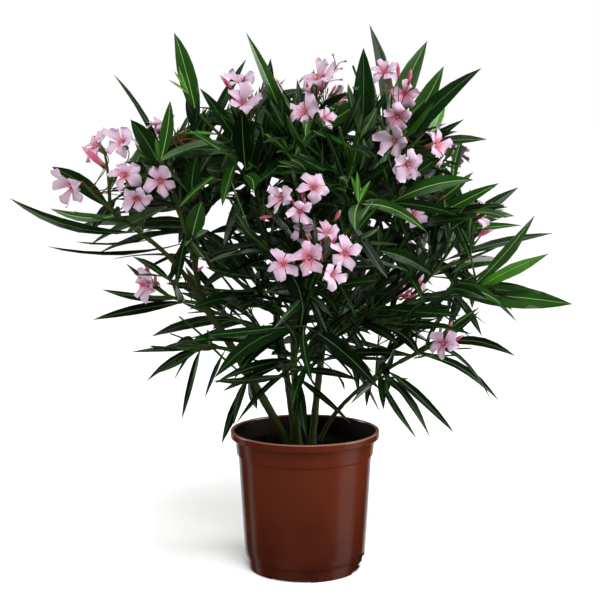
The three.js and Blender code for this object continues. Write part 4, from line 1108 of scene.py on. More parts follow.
BUD_PROFILE = [(0.5, 0), (1.5, 1.5), (2.0, 5), (2.5, 10), (2.6, 14), (1.9, 18), (0.8, 21.5), (0.15, 23)]
BUD_SIDES = 8


def bud_form(seed):
    """A furled bud 23 mm long from its foot to its tip along +Z, twisted like a closed umbrella."""
    form = Gathering()
    turns = np.arange(BUD_SIDES) / BUD_SIDES * 2 * math.pi
    rings = []
    for r, z in BUD_PROFILE:
        furl = turns + z * 0.09
        ridge = 1 + 0.16 * np.cos(turns * 4) * min(1, z / 8)
        rings.append(np.stack([r * ridge * np.cos(furl), r * ridge * np.sin(furl), 0 * turns + z], axis=1))
    bands = np.repeat([6, 6, 10, 10, 10, 1, 1], BUD_SIDES)
    form.add(np.concatenate(rings), closed_faces(len(BUD_PROFILE), BUD_SIDES), [bands, [6, 1]])
    for k in range(SEPAL["count"]):
        turn = 2 * math.pi * (k + chance(seed, k) * 0.3) / SEPAL["count"]
        c, d = math.cos(turn), math.sin(turn)
        add_spike(form, [c, d, -0.4], [2.3 * c, 2.3 * d, 5.2], 1.0, [-d, c, 0], 9)
    return form


def frame_towards(axis, spin):
    """Rows are the axes of a form whose +Z looks along `axis`, spun about it."""
    guide = UP if abs(axis[2]) < 0.9 else np.array([0.0, 1.0, 0.0])
    side = turned_about(unit(np.cross(guide, axis)), axis, spin)
    return np.array([side, np.cross(axis, side), axis])


CLUSTER = dict(buds=[3, 7], spread=[14, 52], stalk=[12, 26], size=[0.45, 0.95], reach=0.985, named_at=0.9)
# Buds that stand out by themselves: the mass that bears one, its foot, the way it points and its size.
BUDS = [
    ["left_tip", -262, -92, 566, -70, 42, 1.75], ["left_tip", -206, -104, 520, -60, 20, 0.75],
    ["left_mid", -142, -100, 430, 40, 30, 0.7], ["front_upper", -40, -160, 506, -75, -12, 0.95],
    ["front_upper", -2, -165, 530, -20, 60, 0.8], ["front_upper", 36, -178, 500, 30, 45, 0.9],
    ["front_flowers", 20, -196, 452, -10, 40, 0.85], ["crown_left", -97, -52, 668, -55, 45, 1.15],
    ["crown_left", -52, -50, 664, 50, 60, 1.0], ["crown_right", 139, -34, 676, 20, 70, 0.95],
    ["crown_right", 126, -30, 684, -20, 75, 1.0], ["right_up", 118, -96, 532, 15, 50, 1.05],
    ["right_up", 206, -96, 516, 50, 30, 0.6], ["right_mid", 226, -66, 474, 70, 20, 1.2],
]


class Sprig:
    """A stalk from a shoot with a bud or a spent flower at its end."""

    def __init__(self, foot, heading, length, axis, size):
        self.foot, self.size = foot, size
        self.tip = foot + heading * length
        self.axis = axis
        self.curve = Bow(foot, foot + heading * length * 0.55 + UP * length * 0.06, self.tip)


def bud_sprigs(plant):
    """Buds of all ages round the end of every flowering shoot."""
    sprigs = []
    for mass in plant.masses.values():
        if not mass.blooms:
            continue
        twig = mass.twigs[0]
        count = round(between(*CLUSTER["buds"], chance(mass.seed, 700)))
        for i in range(count):
            luck = chance(mass.seed, 710 + i)
            along = twig.tangent(1.0)
            heading, _ = leaning(along, between(*CLUSTER["spread"], luck), STEP_ROUND * i + mass.seed)
            length = between(*CLUSTER["stalk"], chance(mass.seed, 730 + i))
            size = between(*CLUSTER["size"], chance(mass.seed, 750 + i))
            sprig = Sprig(twig.point(1 - 0.04 * i / count), heading, length, unit(heading + 0.4 * UP), size)
            if plant.in_crown(sprig.tip + sprig.axis * 23 * size, CLUSTER["reach"]):
                sprigs.append(sprig)
    for name, *foot, turn, rise, size in BUDS:
        twig = plant.masses[name].twigs[0]
        start = twig.point(CLUSTER["named_at"])
        way = np.array(foot, float) - start
        sprigs.append(Sprig(start, unit(way), np.linalg.norm(way), facing(turn, rise), size))
    return sprigs


# ---------------------------------------------------------------- finishes
def add_nodes(nodes, *kinds):
    return [nodes.new(f"ShaderNode{kind}") for kind in kinds]


def join(links, *rows):
    """Joins sockets: each row is a node, its output, the next node and its input."""
    for source, output, target, entry in rows:
        links.new(source.outputs[output], target.inputs[entry])


def preset(node, **values):
    """Even values for sockets, named with _ for a blank."""
    for socket, value in values.items():
        node.inputs[socket.replace("_", " ")].default_value = value


def mottled_group():
    """Slow change between two colours, a change of gloss with it and a fine grain in the surface."""
    group = bpy.data.node_groups.get("mottled_surface")
    if group:
        return group
    group = bpy.data.node_groups.new("mottled_surface", "ShaderNodeTree")
    sockets = [
        ("INPUT", "Color", ["Colour", "Other Colour"]),
        ("INPUT", "Float", ["Patch Scale", "Grain Scale", "Roughness", "Rougher", "Relief"]),
        ("OUTPUT", "Color", ["Colour"]), ("OUTPUT", "Float", ["Roughness"]), ("OUTPUT", "Vector", ["Normal"]),
    ]
    for way, kind, labels in sockets:
        for label in labels:
            group.interface.new_socket(label, in_out=way, socket_type=f"NodeSocket{kind}")
    nodes = group.nodes
    given, out = nodes.new("NodeGroupInput"), nodes.new("NodeGroupOutput")
    place, patches, grain, spread, colour, gloss, relief = add_nodes(
        nodes, "TexCoord", "TexNoise", "TexNoise", "MapRange", "Mix", "MapRange", "Bump"
    )
    colour.data_type = "RGBA"
    preset(patches, Detail=3)
    preset(grain, Detail=4)
    preset(spread, From_Min=0.32, From_Max=0.68)
    preset(relief, Distance=0.0006)
    join(
        group.links,
        (place, "Object", patches, "Vector"), (place, "Object", grain, "Vector"),
        (given, "Patch Scale", patches, "Scale"), (given, "Grain Scale", grain, "Scale"),
        (patches, "Fac", spread, "Value"), (spread, "Result", colour, "Factor"),
        (given, "Colour", colour, "A"), (given, "Other Colour", colour, "B"),
        (grain, "Fac", gloss, "Value"), (given, "Roughness", gloss, "To Min"),
        (given, "Rougher", gloss, "To Max"), (grain, "Fac", relief, "Height"),
        (given, "Relief", relief, "Strength"), (colour, "Result", out, "Colour"),
        (gloss, "Result", out, "Roughness"), (relief, "Normal", out, "Normal"),
    )
    return group


def shaded(colour, share):
    """The same colour, darker below one and lighter above."""
    return [min(1, c * share) for c in colour[:3]] + [1.0]


def mottled(name, colour, other, patch=40, grain=600, rough=(0.4, 0.5), relief=0.2, plain=()):
    """A finish whose colour, gloss and grain come from the shared group. `plain` are even values."""
    material = bpy.data.materials.new(name)
    material.use_nodes = True
    nodes = material.node_tree.nodes
    shader, surface = nodes["Principled BSDF"], nodes.new("ShaderNodeGroup")
    surface.node_tree = mottled_group()
    preset(
        surface, Colour=colour, Other_Colour=other, Patch_Scale=patch, Grain_Scale=grain, Roughness=rough[0],
        Rougher=rough[1], Relief=relief,
    )
    join(
        material.node_tree.links, (surface, "Colour", shader, "Base Color"),
        (surface, "Roughness", shader, "Roughness"), (surface, "Normal", shader, "Normal"),
    )
    for socket, value in plain:
        shader.inputs[socket].default_value = value
    material.diffuse_color = colour
    return material


def leaf_finishes(settings):
    """Four tones of blade, two of rib and two of underside, in the order of the strip slots."""
    tones = [
        ("leaf_deep", settings.deep, (0.24, 0.36)),
        ("leaf_dark", settings.dark, (0.22, 0.34)),
        ("leaf_mid", settings.mid, (0.24, 0.36)),
        ("leaf_young", settings.young, (0.28, 0.4)),
        ("rib_dull", settings.rib_dull, (0.45, 0.55)),
        ("rib_pale", settings.rib_pale, (0.45, 0.55)),
        ("underside_dull", settings.under_dull, (0.55, 0.68)),
        ("underside_pale", settings.under_pale, (0.55, 0.68)),
    ]
    waxy = [("Specular IOR Level", 0.38)]
    return [
        mottled(name, main, shaded(main, 0.78), 34, 420, rough, 0.18, waxy) for name, main, rough in tones
    ]


def blossom_finishes(settings):
    tones = [
        ("petal_rose", settings.rose, 0.88), ("petal_deep", settings.deep_pink, 0.9),
        ("petal_blush", settings.blush, 0.93), ("petal_soft", settings.soft, 0.94),
        ("petal_pale", settings.petal, 0.94), ("petal_back", settings.back, 0.9),
        ("flower_tube", settings.tube, 0.85), ("flower_fringe", settings.fringe, 0.85),
        ("flower_heart", settings.heart, 0.8), ("calyx", settings.calyx, 0.75),
        ("bud_rose", settings.bud, 0.85),
    ]
    velvet = [("Sheen Weight", 0.08), ("Specular IOR Level", 0.25)]
    return [mottled(n, c, shaded(c, s), 160, 900, (0.55, 0.7), 0.15, velvet) for n, c, s in tones]


# ---------------------------------------------------------------- modelling helpers
def deselect():
    bpy.ops.object.select_all(action="DESELECT")


def choose(piece):
    deselect()
    piece.select_set(True)
    bpy.context.view_layer.objects.active = piece


def smooth(piece, angle):
    choose(piece)
    bpy.ops.object.shade_smooth_by_angle(angle=math.radians(angle))


def finished(piece, slot, *nodes):
    """Every piece rides on the plant's one body and stands for its nodes; `slot` is not used."""
    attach(piece, "root")
    if nodes:
        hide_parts(*nodes)


def turned(name, profile, sides):
    """A closed turned piece: a filled ring, extruded and resized ring by ring along a profile in mm."""
    deselect()
    radius, height = profile[0]
    bpy.ops.mesh.primitive_circle_add(
        vertices=sides, radius=radius * MM, fill_type="NGON", location=(0, 0, height * MM)
    )
    piece = bpy.context.object
    piece.name = piece.data.name = name
    bpy.ops.object.transform_apply(location=True, rotation=True, scale=True)
    bpy.ops.object.mode_set(mode="EDIT")
    bpy.ops.mesh.select_all(action="SELECT")
    for next_radius, next_height in profile[1:]:
        step = (0, 0, (next_height - height) * MM)
        bpy.ops.mesh.extrude_region_move(TRANSFORM_OT_translate={"value": step})
        share = next_radius / radius
        bpy.ops.transform.resize(value=(share, share, 1), center_override=(0, 0, next_height * MM))
        radius, height = next_radius, next_height
    bpy.ops.mesh.select_all(action="SELECT")
    bpy.ops.mesh.normals_make_consistent(inside=False)
    bpy.ops.object.mode_set(mode="OBJECT")
    return piece


def cut_box(piece, bearing, near, far, width, low, high):
    """Cuts a box out of a piece, radial at a bearing in degrees from +X. Sizes in millimetres."""
    deselect()
    middle = (near + far) / 2 * MM
    turn = math.radians(bearing)
    bpy.ops.mesh.primitive_cube_add(
        size=1, location=(middle * math.cos(turn), middle * math.sin(turn), (low + high) / 2 * MM),
        rotation=(0, 0, turn), scale=((far - near) * MM, width * MM, (high - low) * MM),
    )
    cutter = bpy.context.object
    choose(piece)
    cut = piece.modifiers.new("cut", "BOOLEAN")
    cut.operation, cut.solver, cut.object = "DIFFERENCE", "EXACT", cutter
    bpy.ops.object.modifier_apply(modifier=cut.name)
    bpy.data.objects.remove(cutter)


# ---------------------------------------------------------------- pot and compost
def wall_radius(height):
    """The pot's outer radius at a height, without its lip."""
    band = POT["height"] - POT["band_drop"]
    lip = POT["height"] - POT["lip_drop"]
    heights = [0, POT["foot_top"] - 1, POT["foot_top"] + 1, band - 1, band + 1, lip]
    radii = [
        POT["foot_radius"], POT["foot_wall"] - POT["foot_step"], POT["foot_wall"], POT["shoulder"],
        POT["shoulder"] + POT["band_step"], POT["lip_radius"] - POT["lip_inset"],
    ]
    return float(np.interp(height, heights, radii))


def rounded(radius, height, corner, first, steps=4):
    """A quarter round of a turned profile, from the bearing `first` in quarters of a turn."""
    turns = [math.pi / 2 * (first + k / steps) for k in range(steps + 1)]
    return [(radius + corner * math.cos(t), height + corner * math.sin(t)) for t in turns]


def pot_profile():
    foot, corner, lip = POT["foot_radius"], POT["foot_corner"], POT["lip_radius"]
    top, lip_low = POT["height"], POT["height"] - POT["lip_drop"]
    band = top - POT["band_drop"]
    round_lip = POT["lip_corner"]
    outer = [(foot - corner - 8, 0), *rounded(foot - corner, corner, corner, 3)]
    outer += [(wall_radius(z), z) for z in (6, POT["foot_top"] - 2.2, POT["foot_top"] - 1)]
    outer += [(POT["foot_wall"] - 0.6, POT["foot_top"]), (POT["foot_wall"], POT["foot_top"] + 1)]
    outer += [(wall_radius(z), z) for z in range(30, int(band) - 4, 12)]
    outer += [(wall_radius(z), z) for z in (band - 3, band - 1, band - 0.4, band + 0.4, band + 1, band + 3)]
    outer += [(wall_radius(z), z) for z in (band + 11, lip_low - 1.2)]
    outer += [(wall_radius(lip_low) + 0.5, lip_low - 0.3), (lip - round_lip - 1, lip_low)]
    outer += rounded(lip - round_lip, lip_low + round_lip, round_lip, 3)
    outer += [(lip - 0.5, lip_low + 4.5), *rounded(lip - round_lip, top - round_lip, round_lip, 0)]
    inner = [(lip - 4.2, top), (lip - 5.0, top - 0.5), (lip - 5.6, top - 1.8)]
    inner += [(wall_radius(z) - POT["wall"], z) for z in (lip_low, band + 10, band + 1, band - 1)]
    inner += [(wall_radius(z) - POT["wall"], z) for z in (140, 100, 60, POT["floor"] + 3)]
    return outer + inner + [(wall_radius(POT["floor"]) - POT["wall"] - 2, POT["floor"])]


def pot_finish(settings):
    """Moulded plastic: mottled brown, with painted shade that darkens it in patches towards its foot and a
    painted highlight that makes the top of its lip pale.
    """
    material = mottled(
        "pot_plastic", settings.plastic, settings.plastic_other, 9, 900,
        (settings.gloss, settings.gloss + 0.1), 0.1, [("Specular IOR Level", 0.5)],
    )
    nodes = material.node_tree.nodes
    shader, surface = nodes["Principled BSDF"], next(node for node in nodes if node.type == "GROUP")
    place, parts, low, spots, patchy_shade, foot_shade, brim, edge = add_nodes(
        nodes, "TexCoord", "SeparateXYZ", "MapRange", "TexNoise", "Math", "Mix", "MapRange", "Mix"
    )
    patchy_shade.operation = "MULTIPLY"
    foot_shade.data_type = edge.data_type = "RGBA"
    # Painted shade: the wall darkens in patches towards its foot.
    preset(low, From_Min=settings.foot_shade_height, From_Max=0.0)
    preset(spots, Scale=22, Detail=4)
    preset(foot_shade, B=settings.foot_shade)
    # Painted highlight: the top of the lip turns pale.
    preset(brim, From_Min=(POT["height"] - 1.3) * MM, From_Max=(POT["height"] - 0.3) * MM)
    preset(edge, B=settings.edge)
    join(
        material.node_tree.links,
        (place, "Object", parts, "Vector"), (place, "Object", spots, "Vector"), (parts, "Z", low, "Value"),
        (low, "Result", patchy_shade, 0), (spots, "Fac", patchy_shade, 1),
        (surface, "Colour", foot_shade, "A"), (patchy_shade, "Value", foot_shade, "Factor"),
        (parts, "Z", brim, "Value"), (brim, "Result", edge, "Factor"),
        (foot_shade, "Result", edge, "A"), (edge, "Result", shader, "Base Color"),
    )
    return material


COMPOST = dict(rings=14, low=6.6, clear=0.6, rough=2.4, chips=1300, chip=[0.8, 3.4])


def compost_height(x, y):
    """The lumpy top of the compost in millimetres, a little lower at the wall."""
    lumps = noise.noise(Vector((x * 0.05, y * 0.05, 1.7)))
    lumps += 0.6 * noise.noise(Vector((x * 0.16, y * 0.16, 4.1)))
    return SOIL_TOP - 1.5 + COMPOST["rough"] * lumps - 3 * (math.hypot(x, y) / 92) ** 4


def add_chips(gathering):
    """Crumbs of bark and peat that lie on the compost, each a squeezed octahedron."""
    corners = np.array([[1, 0, 0], [-1, 0, 0], [0, 1, 0], [0, -1, 0], [0, 0, 1], [0, 0, -1]], float)
    faces = np.array([[0, 2, 4], [2, 1, 4], [1, 3, 4], [3, 0, 4], [2, 0, 5], [1, 2, 5], [3, 1, 5], [0, 3, 5]])
    reach = wall_radius(SOIL_TOP) - POT["wall"] - 4
    for i in range(COMPOST["chips"]):
        luck = [chance(seed, i) for seed in range(11, 24)]
        radius, turn = reach * math.sqrt(luck[0]), 6.2832 * luck[1]
        x, y = radius * math.cos(turn), radius * math.sin(turn)
        size = between(*COMPOST["chip"], luck[2] ** 3)
        axes = frame_towards(unit(np.array([luck[3] - 0.5, luck[4] - 0.5, 0.6])), turn * 7)
        shape = corners * [size, size * between(0.4, 1, luck[5]), size * between(0.3, 0.7, luck[6])]
        wobble = 1 + 0.3 * (np.array(luck[7:])[:, None] - 0.5)
        gathering.add(shape * wobble @ axes + [x, y, compost_height(x, y) + size * 0.2], [faces], [i % 3])


# ---------------------------------------------------------------- limbs
BARK = dict(
    sides=16, step=3.5, node_gap=[24, 34], swell=0.1, scar=0.45, flare=0.35, collar=0.22, flare_length=14,
)


def limb_radii(name, curve, shares):
    """The taper of a limb with its flare, collar, swollen nodes and slow unevenness."""
    plan = LIMBS[name]
    thick, thin = plan["r"]
    along = shares * curve.length
    radii = between(thick, thin, shares)
    flare = BARK["collar"] if plan.get("on") else BARK["flare"]
    radii = radii * (1 + flare * np.maximum(0, 1 - along / BARK["flare_length"]) ** 2)
    seed = sum(map(ord, name))
    place, index = 12.0, 0
    while place < curve.length - 6:
        radii = radii + thin * BARK["swell"] * np.exp(-(((along - place) / 3.2) ** 2))
        place += between(*BARK["node_gap"], chance(seed, index))
        index += 1
    return radii * (1 + 0.03 * np.sin(along * 0.11 + seed))


def limb_piece(name, curve, material):
    """A limb drawn as a curve with its own thickness along it, made a mesh and roughened."""
    deselect()
    bpy.ops.curve.primitive_bezier_curve_add(location=(0, 0, 0))
    piece = bpy.context.object
    piece.name = name
    shares = np.linspace(0, 1, max(8, round(curve.length / BARK["step"])))
    drawn = piece.data
    drawn.splines.clear()
    spline = drawn.splines.new("POLY")
    spline.points.add(len(shares) - 1)
    radii = limb_radii(name.removesuffix("_bark"), curve, shares)
    for knot, place, radius in zip(spline.points, curve.point(shares), radii):
        knot.co = (*(place * MM), 1)
        knot.radius = radius
    drawn.dimensions = "3D"
    drawn.twist_mode = "MINIMUM"
    drawn.bevel_depth = MM
    drawn.bevel_resolution = BARK["sides"] // 4
    drawn.use_fill_caps = True
    bpy.ops.object.convert(target="MESH")
    piece = bpy.context.object
    piece.data.name = name
    for vertex in piece.data.vertices:
        grain = noise.noise(Vector(vertex.co) * 130) + 0.5 * noise.noise(Vector(vertex.co) * 420)
        vertex.co += vertex.normal * grain * BARK["scar"] * MM
    piece.data.materials.append(material)
    smooth(piece, 60)
    return piece


# ---------------------------------------------------------------- the plant in pieces
GROUPS = {
    "left": ["left_tip", "left_mid", "left_crown", "left_low", "left_skirt"],
    "front": ["front_low", "front_flowers", "front_upper", "inner_left", "inner_right"],
    "crown": ["crown_left", "crown_centre", "crown_middle", "crown_right"],
    "right": ["right_up", "right_mid", "right_far", "right_low", "right_skirt"],
    "back": ["back_left", "back_crown", "back_right"],
    "back_low": ["back_middle", "back_low_left", "back_low_right"],
}
TWIG = dict(foot=3, tip=1.9, fine_foot=1.6, fine_tip=1.0, sides=6, step=9, swell=0.14)
STALK = dict(radius=0.75, bud_share=0.8, sides=5, bend=0.35)
grown = {}


def the_plant():
    """The grown plant, worked out once."""
    if not grown:
        grown["plant"] = FinePlant()
    return grown["plant"]


def foliage_nodes(masses):
    return [f"foliage_{name}" for name in masses]


def add_twig(gathering, twig, foot, tip, slot):
    """A shoot that tapers and swells a little at every whorl."""
    shares = np.linspace(0, 1, max(3, round(twig.length / TWIG["step"])))
    swell = 1 + TWIG["swell"] * np.cos(shares * twig.length / LEAF["internode"] * 4 * math.pi) ** 8
    tube(gathering, twig.point(shares), between(foot, tip, shares) * swell, TWIG["sides"], slot)


def stalk_curve(bloom):
    """The stalk leaves its shoot along a bow and enters the flower's tube from behind."""
    reach = np.linalg.norm(bloom.base - bloom.foot)
    return Bow(bloom.foot, bloom.base - bloom.axis * reach * STALK["bend"], bloom.base)


def add_stalk(gathering, curve, rings, radius):
    tube(gathering, curve.point(np.linspace(0, 1, rings)), np.full(rings, radius), STALK["sides"], 0)


SPENT = [
    # mass, share along its main twig, heading, length, number of heads
    ["left_mid", 0.92, [0.75, -0.6, 0.35], 44, 9],
    ["crown_centre", 0.99, [0.62, -0.1, 1], 66, 7],
    ["crown_right", 0.9, [-0.5, -0.2, 1], 38, 4],
    ["back_crown", 0.98, [-0.4, 0.4, 1], 40, 5],
]


def add_spent(gathering, plant):
    """Old flower heads: a forked brown stalk with a dry cup at the end of every fork."""
    for name, at, heading, length, count in SPENT:
        mass = plant.masses[name]
        twig = mass.twigs[0]
        heading = unit(np.array(heading, float))
        root = twig.point(at)
        main = Bow(root, root + heading * length * 0.5 + [2, -2, 0], root + heading * length)
        tube(gathering, main.point(np.linspace(0, 1, 8)), np.linspace(1.2, 0.7, 8), 5, 0)
        for k in range(count):
            start = main.point(0.4 + 0.6 * (k + 1) / count)
            way = turned_about(unit(np.cross(heading, UP + [0.3, 0, 0])), heading, STEP_ROUND * k + mass.seed)
            fork = start + unit(way * 0.8 + heading * 0.7) * between(9, 17, chance(mass.seed, 900 + k))
            tube(gathering, np.array([start, (start + fork) / 2 + [0, 0, 1], fork]), [0.6, 0.55, 0.7], 5, 0)
            for c in range(5):
                turn = 2 * math.pi * c / 5
                axes = frame_towards(unit(fork - start), turn)
                tip = fork + axes[2] * 4.2 + axes[0] * between(1.2, 3, chance(mass.seed, 950 + k * 5 + c))
                add_spike(gathering, fork, tip, 0.9, axes[1], 1 + (c + k) % 2)


# ---------------------------------------------------------------- settings
def colour(name, description, code):
    return bpy.props.FloatVectorProperty(
        name=name, description=description, subtype="COLOR", size=4, min=0, max=1, default=tint(code)
    )


def amount(name, description, default, **limits):
    return bpy.props.FloatProperty(name=name, description=description, default=default, **limits)


class PotSettings(bpy.types.PropertyGroup):
    plastic: colour("Plastic", "Brown of the moulded pot", "4b1b08")
    plastic_other: colour("Plastic, darker", "Slow mottling of the pot's brown", "431606")
    # Painted shade of the pot's inside: darker than the outer plastic, mottled with compost stain.
    inside: colour("Inner wall", "Stained plastic inside the pot", "150602")
    # Painted highlight: the pale colour along the top of the lip.
    edge: colour("Rubbed edge", "Paler plastic along the top of the lip", "94685c")
    # Painted shade: the darker colour that the wall takes in patches towards its foot, and how far up it
    # climbs.
    foot_shade: colour("Damp foot", "Darker plastic where the foot stays damp", "1c0501")
    foot_shade_height: amount("Damp height", "How far the damp climbs the wall", 0.15, min=0.01, unit="LENGTH")
    gloss: amount(
        "Roughness", "Roughness of the plastic where it is smooth", 0.17, min=0, max=1, subtype="FACTOR"
    )
    peat: colour("Peat", "Dark crumbs of the compost", "080503")
    bark_chip: colour("Bark crumbs", "Lighter crumbs of the compost", "170f09")


class WoodSettings(bpy.types.PropertyGroup):
    bark: colour("Bark", "Olive brown of the stems", "2c2d10")
    bark_other: colour("Bark, greener", "Green that shows through the bark", "27360c")
    shoot: colour("Shoots", "Green of this year's shoots", "324a14")
    stalk: colour("Flower stalks", "Reddish green of the flower stalks", "3f3216")
    spent: colour("Spent heads", "Brown of old flower heads", "7a3a18")


class LeafSettings(bpy.types.PropertyGroup):
    # The inner and outer tones are painted shade and painted light, given by where a leaf stands in the
    # crown.
    deep: colour("Inner leaves", "Low and shaded leaves", "041303")
    dark: colour("Grown leaves", "Most leaves", "0a2206")
    mid: colour("Outer leaves", "Leaves in the light", "1d400d")
    young: colour("Young leaves", "Leaves at the ends of shoots", "3c7416")
    rib_dull: colour("Rib, shaded", "Middle rib of dark leaves", "40602f")
    rib_pale: colour("Rib, pale", "Middle rib of bright leaves", "82a25c")
    under_dull: colour("Underside, dark", "Underside of dark leaves", "16260f")
    under_pale: colour("Underside, pale", "Underside of bright leaves", "36522c")


class BlossomSettings(bpy.types.PropertyGroup):
    petal: colour("Petals", "Pale lilac pink of most petals", "b09aac")
    soft: colour("Petals, pinker", "Pink of the middle of a petal", "b194a6")
    blush: colour("Petal blush", "Pink towards the throat", "b2899c")
    deep_pink: colour("Deep pink", "Deeper pink by the throat and on the tips of buds", "af778d")
    rose: colour("Throat", "Rose of the petal's foot", "aa5e76")
    back: colour("Petal backs", "Underside of the petals", "a38597")
    tube: colour("Flower tube", "Tube behind the petals", "8c5a44")
    fringe: colour("Fringe", "Teeth round the throat", "b75674")
    heart: colour("Heart", "Cone in the throat", "b98a55")
    calyx: colour("Calyx", "Small leaves that hold the flower", "4d2418")
    bud: colour("Buds", "Furled buds", "ab4a63")


class StageSettings(bpy.types.PropertyGroup):
    floor: colour("Floor", "Plain pale floor", "fdfdfc")
    floor_radius: amount("Floor radius", "Radius of the round floor", 40, unit="LENGTH")
    lens: amount("Lens", "Focal length in millimetres", 75.6)
    distance: amount("Distance", "How far the camera stands in front", 1.75, unit="LENGTH")
    height: amount("Height", "Camera height", 0.58, unit="LENGTH")
    aside: amount("Aside", "How far the camera stands to the right", -0.007, unit="LENGTH")
    tilt: amount("Tilt", "How far the camera looks down", math.radians(6.5), unit="ROTATION")


# ---------------------------------------------------------------- operators
class OLEANDER_OT_pot(bpy.types.Operator):
    """Turns the pot ring by ring and cuts the notches under it and the slots in its foot"""

    bl_idname = "oleander.pot"
    bl_label = "Nursery pot"

    def execute(self, context):
        piece = turned("nursery_pot", pot_profile(), POT["sides"])
        width = 2 * POT["foot_radius"] * math.sin(math.radians(NOTCH["span"] / 2))
        for i in range(NOTCH["count"]):
            bearing = NOTCH["first"] + i * 360 / NOTCH["count"]
            cut_box(piece, bearing, NOTCH["inner"], POT["lip_radius"], width, -1, NOTCH["height"])
        for bearing in SLOT["bearings"]:
            cut_box(piece, bearing, SLOT["inner"], POT["lip_radius"], SLOT["width"], -1, SLOT["height"])
        bearing, near, width, low, high = WIDE_SLOT.values()
        cut_box(piece, bearing, near, POT["lip_radius"], width, low, high)
        piece.data.materials.clear()
        settings = context.scene.oleander_pot
        piece.data.materials.append(pot_finish(settings))
        dull = [("Specular IOR Level", 0.1)]
        inside = mottled("pot_inside_stain_and_shade", settings.inside, settings.peat, 30, 700, (0.6, 0.8), 0.3, dull)
        piece.data.materials.append(inside)
        # The faces of the inner wall take that finish: painted shade, mottled with compost stain.
        for face in piece.data.polygons:
            inwards = face.normal.x * face.center.x + face.normal.y * face.center.y < 0
            if inwards and face.center.z < (POT["height"] - 2) * MM:
                face.material_index = 1
        smooth(piece, 28)
        finished(piece, "pot_plastic", "pot")
        return {"FINISHED"}


class OLEANDER_OT_compost(bpy.types.Operator):
    """Turns the root ball, roughens its top and strews it with crumbs"""

    bl_idname = "oleander.compost"
    bl_label = "Compost"

    def execute(self, context):
        settings = context.scene.oleander_pot
        gap = POT["wall"] + COMPOST["clear"]
        band = POT["height"] - POT["band_drop"]
        levels = (COMPOST["low"], POT["foot_top"] - 1, 60, 120, band - 1, SOIL_TOP - 4)
        profile = [(wall_radius(z) - gap, z) for z in levels]
        brim = profile[-1][0]
        profile += [(brim * (1 - k / COMPOST["rings"]), SOIL_TOP) for k in range(COMPOST["rings"])]
        piece = turned("root_ball_compost", profile, POT["sides"])
        for vertex in piece.data.vertices:
            if vertex.co.z > (SOIL_TOP - 2) * MM:
                vertex.co.z = compost_height(vertex.co.x / MM, vertex.co.y / MM) * MM
        dull = [("Specular IOR Level", 0.1)]
        peat = mottled("peat", settings.peat, settings.bark_chip, 90, 700, (0.9, 1.0), 0.9, dull)
        piece.data.materials.append(peat)
        smooth(piece, 40)
        finished(piece, "compost", "root_ball")
        chips = Gathering()
        add_chips(chips)
        bark = mottled("bark_crumbs", settings.bark_chip, settings.peat, 160, 900, (0.85, 1.0), 0.6, dull)
        finished(chips.piece("compost_crumbs", [peat, bark, peat], 30), "compost", "root_ball")
        return {"FINISHED"}


class OLEANDER_OT_limbs(bpy.types.Operator):
    """Draws every stem and bough as a curve with its own thickness and bark"""

    bl_idname = "oleander.limbs"
    bl_label = "Stems and boughs"

    def execute(self, context):
        settings = context.scene.oleander_wood
        dull = [("Specular IOR Level", 0.2)]
        bark = mottled("bark", settings.bark, settings.bark_other, 24, 500, (0.6, 0.8), 0.7, dull)
        for name, curve in the_plant().limbs.items():
            finished(limb_piece(f"{name}_bark", curve, bark), "bark", name)
        return {"FINISHED"}


class OLEANDER_OT_twigs(bpy.types.Operator):
    """Makes all shoots and twigs as one joined mesh"""

    bl_idname = "oleander.twigs"
    bl_label = "Twigs"

    def execute(self, context):
        settings = context.scene.oleander_wood
        shoots = Gathering()
        for mass in the_plant().masses.values():
            for index, twig in enumerate(mass.twigs):
                share = 0.8 if index else 1
                add_twig(shoots, twig, TWIG["foot"] * share, TWIG["tip"] * share, 0)
            for twig in mass.fine_twigs:
                add_twig(shoots, twig, TWIG["fine_foot"], TWIG["fine_tip"], 0)
        waxy = [("Specular IOR Level", 0.2)]
        shade = shaded(settings.shoot, 0.6)
        green = mottled("young_shoot", settings.shoot, shade, 30, 600, (0.45, 0.6), 0.3, waxy)
        finished(shoots.piece("young_twigs", [green], 60), "bark", *foliage_nodes(MASSES))
        return {"FINISHED"}


class OLEANDER_OT_leaves(bpy.types.Operator):
    """Makes the leaves of each side of the crown as one joined mesh"""

    bl_idname = "oleander.leaves"
    bl_label = "Leaves"

    def execute(self, context):
        finishes = leaf_finishes(context.scene.oleander_leaves)
        plant = the_plant()
        for number, (side, names) in enumerate(GROUPS.items()):
            leaves = [leaf for name in names for leaf in plant.masses[name].leaves]
            piece = gather_leaves(leaves, 10000 * (number + 1)).piece(f"leaves_{side}", finishes, 50)
            finished(piece, "foliage", *foliage_nodes(names))
        return {"FINISHED"}


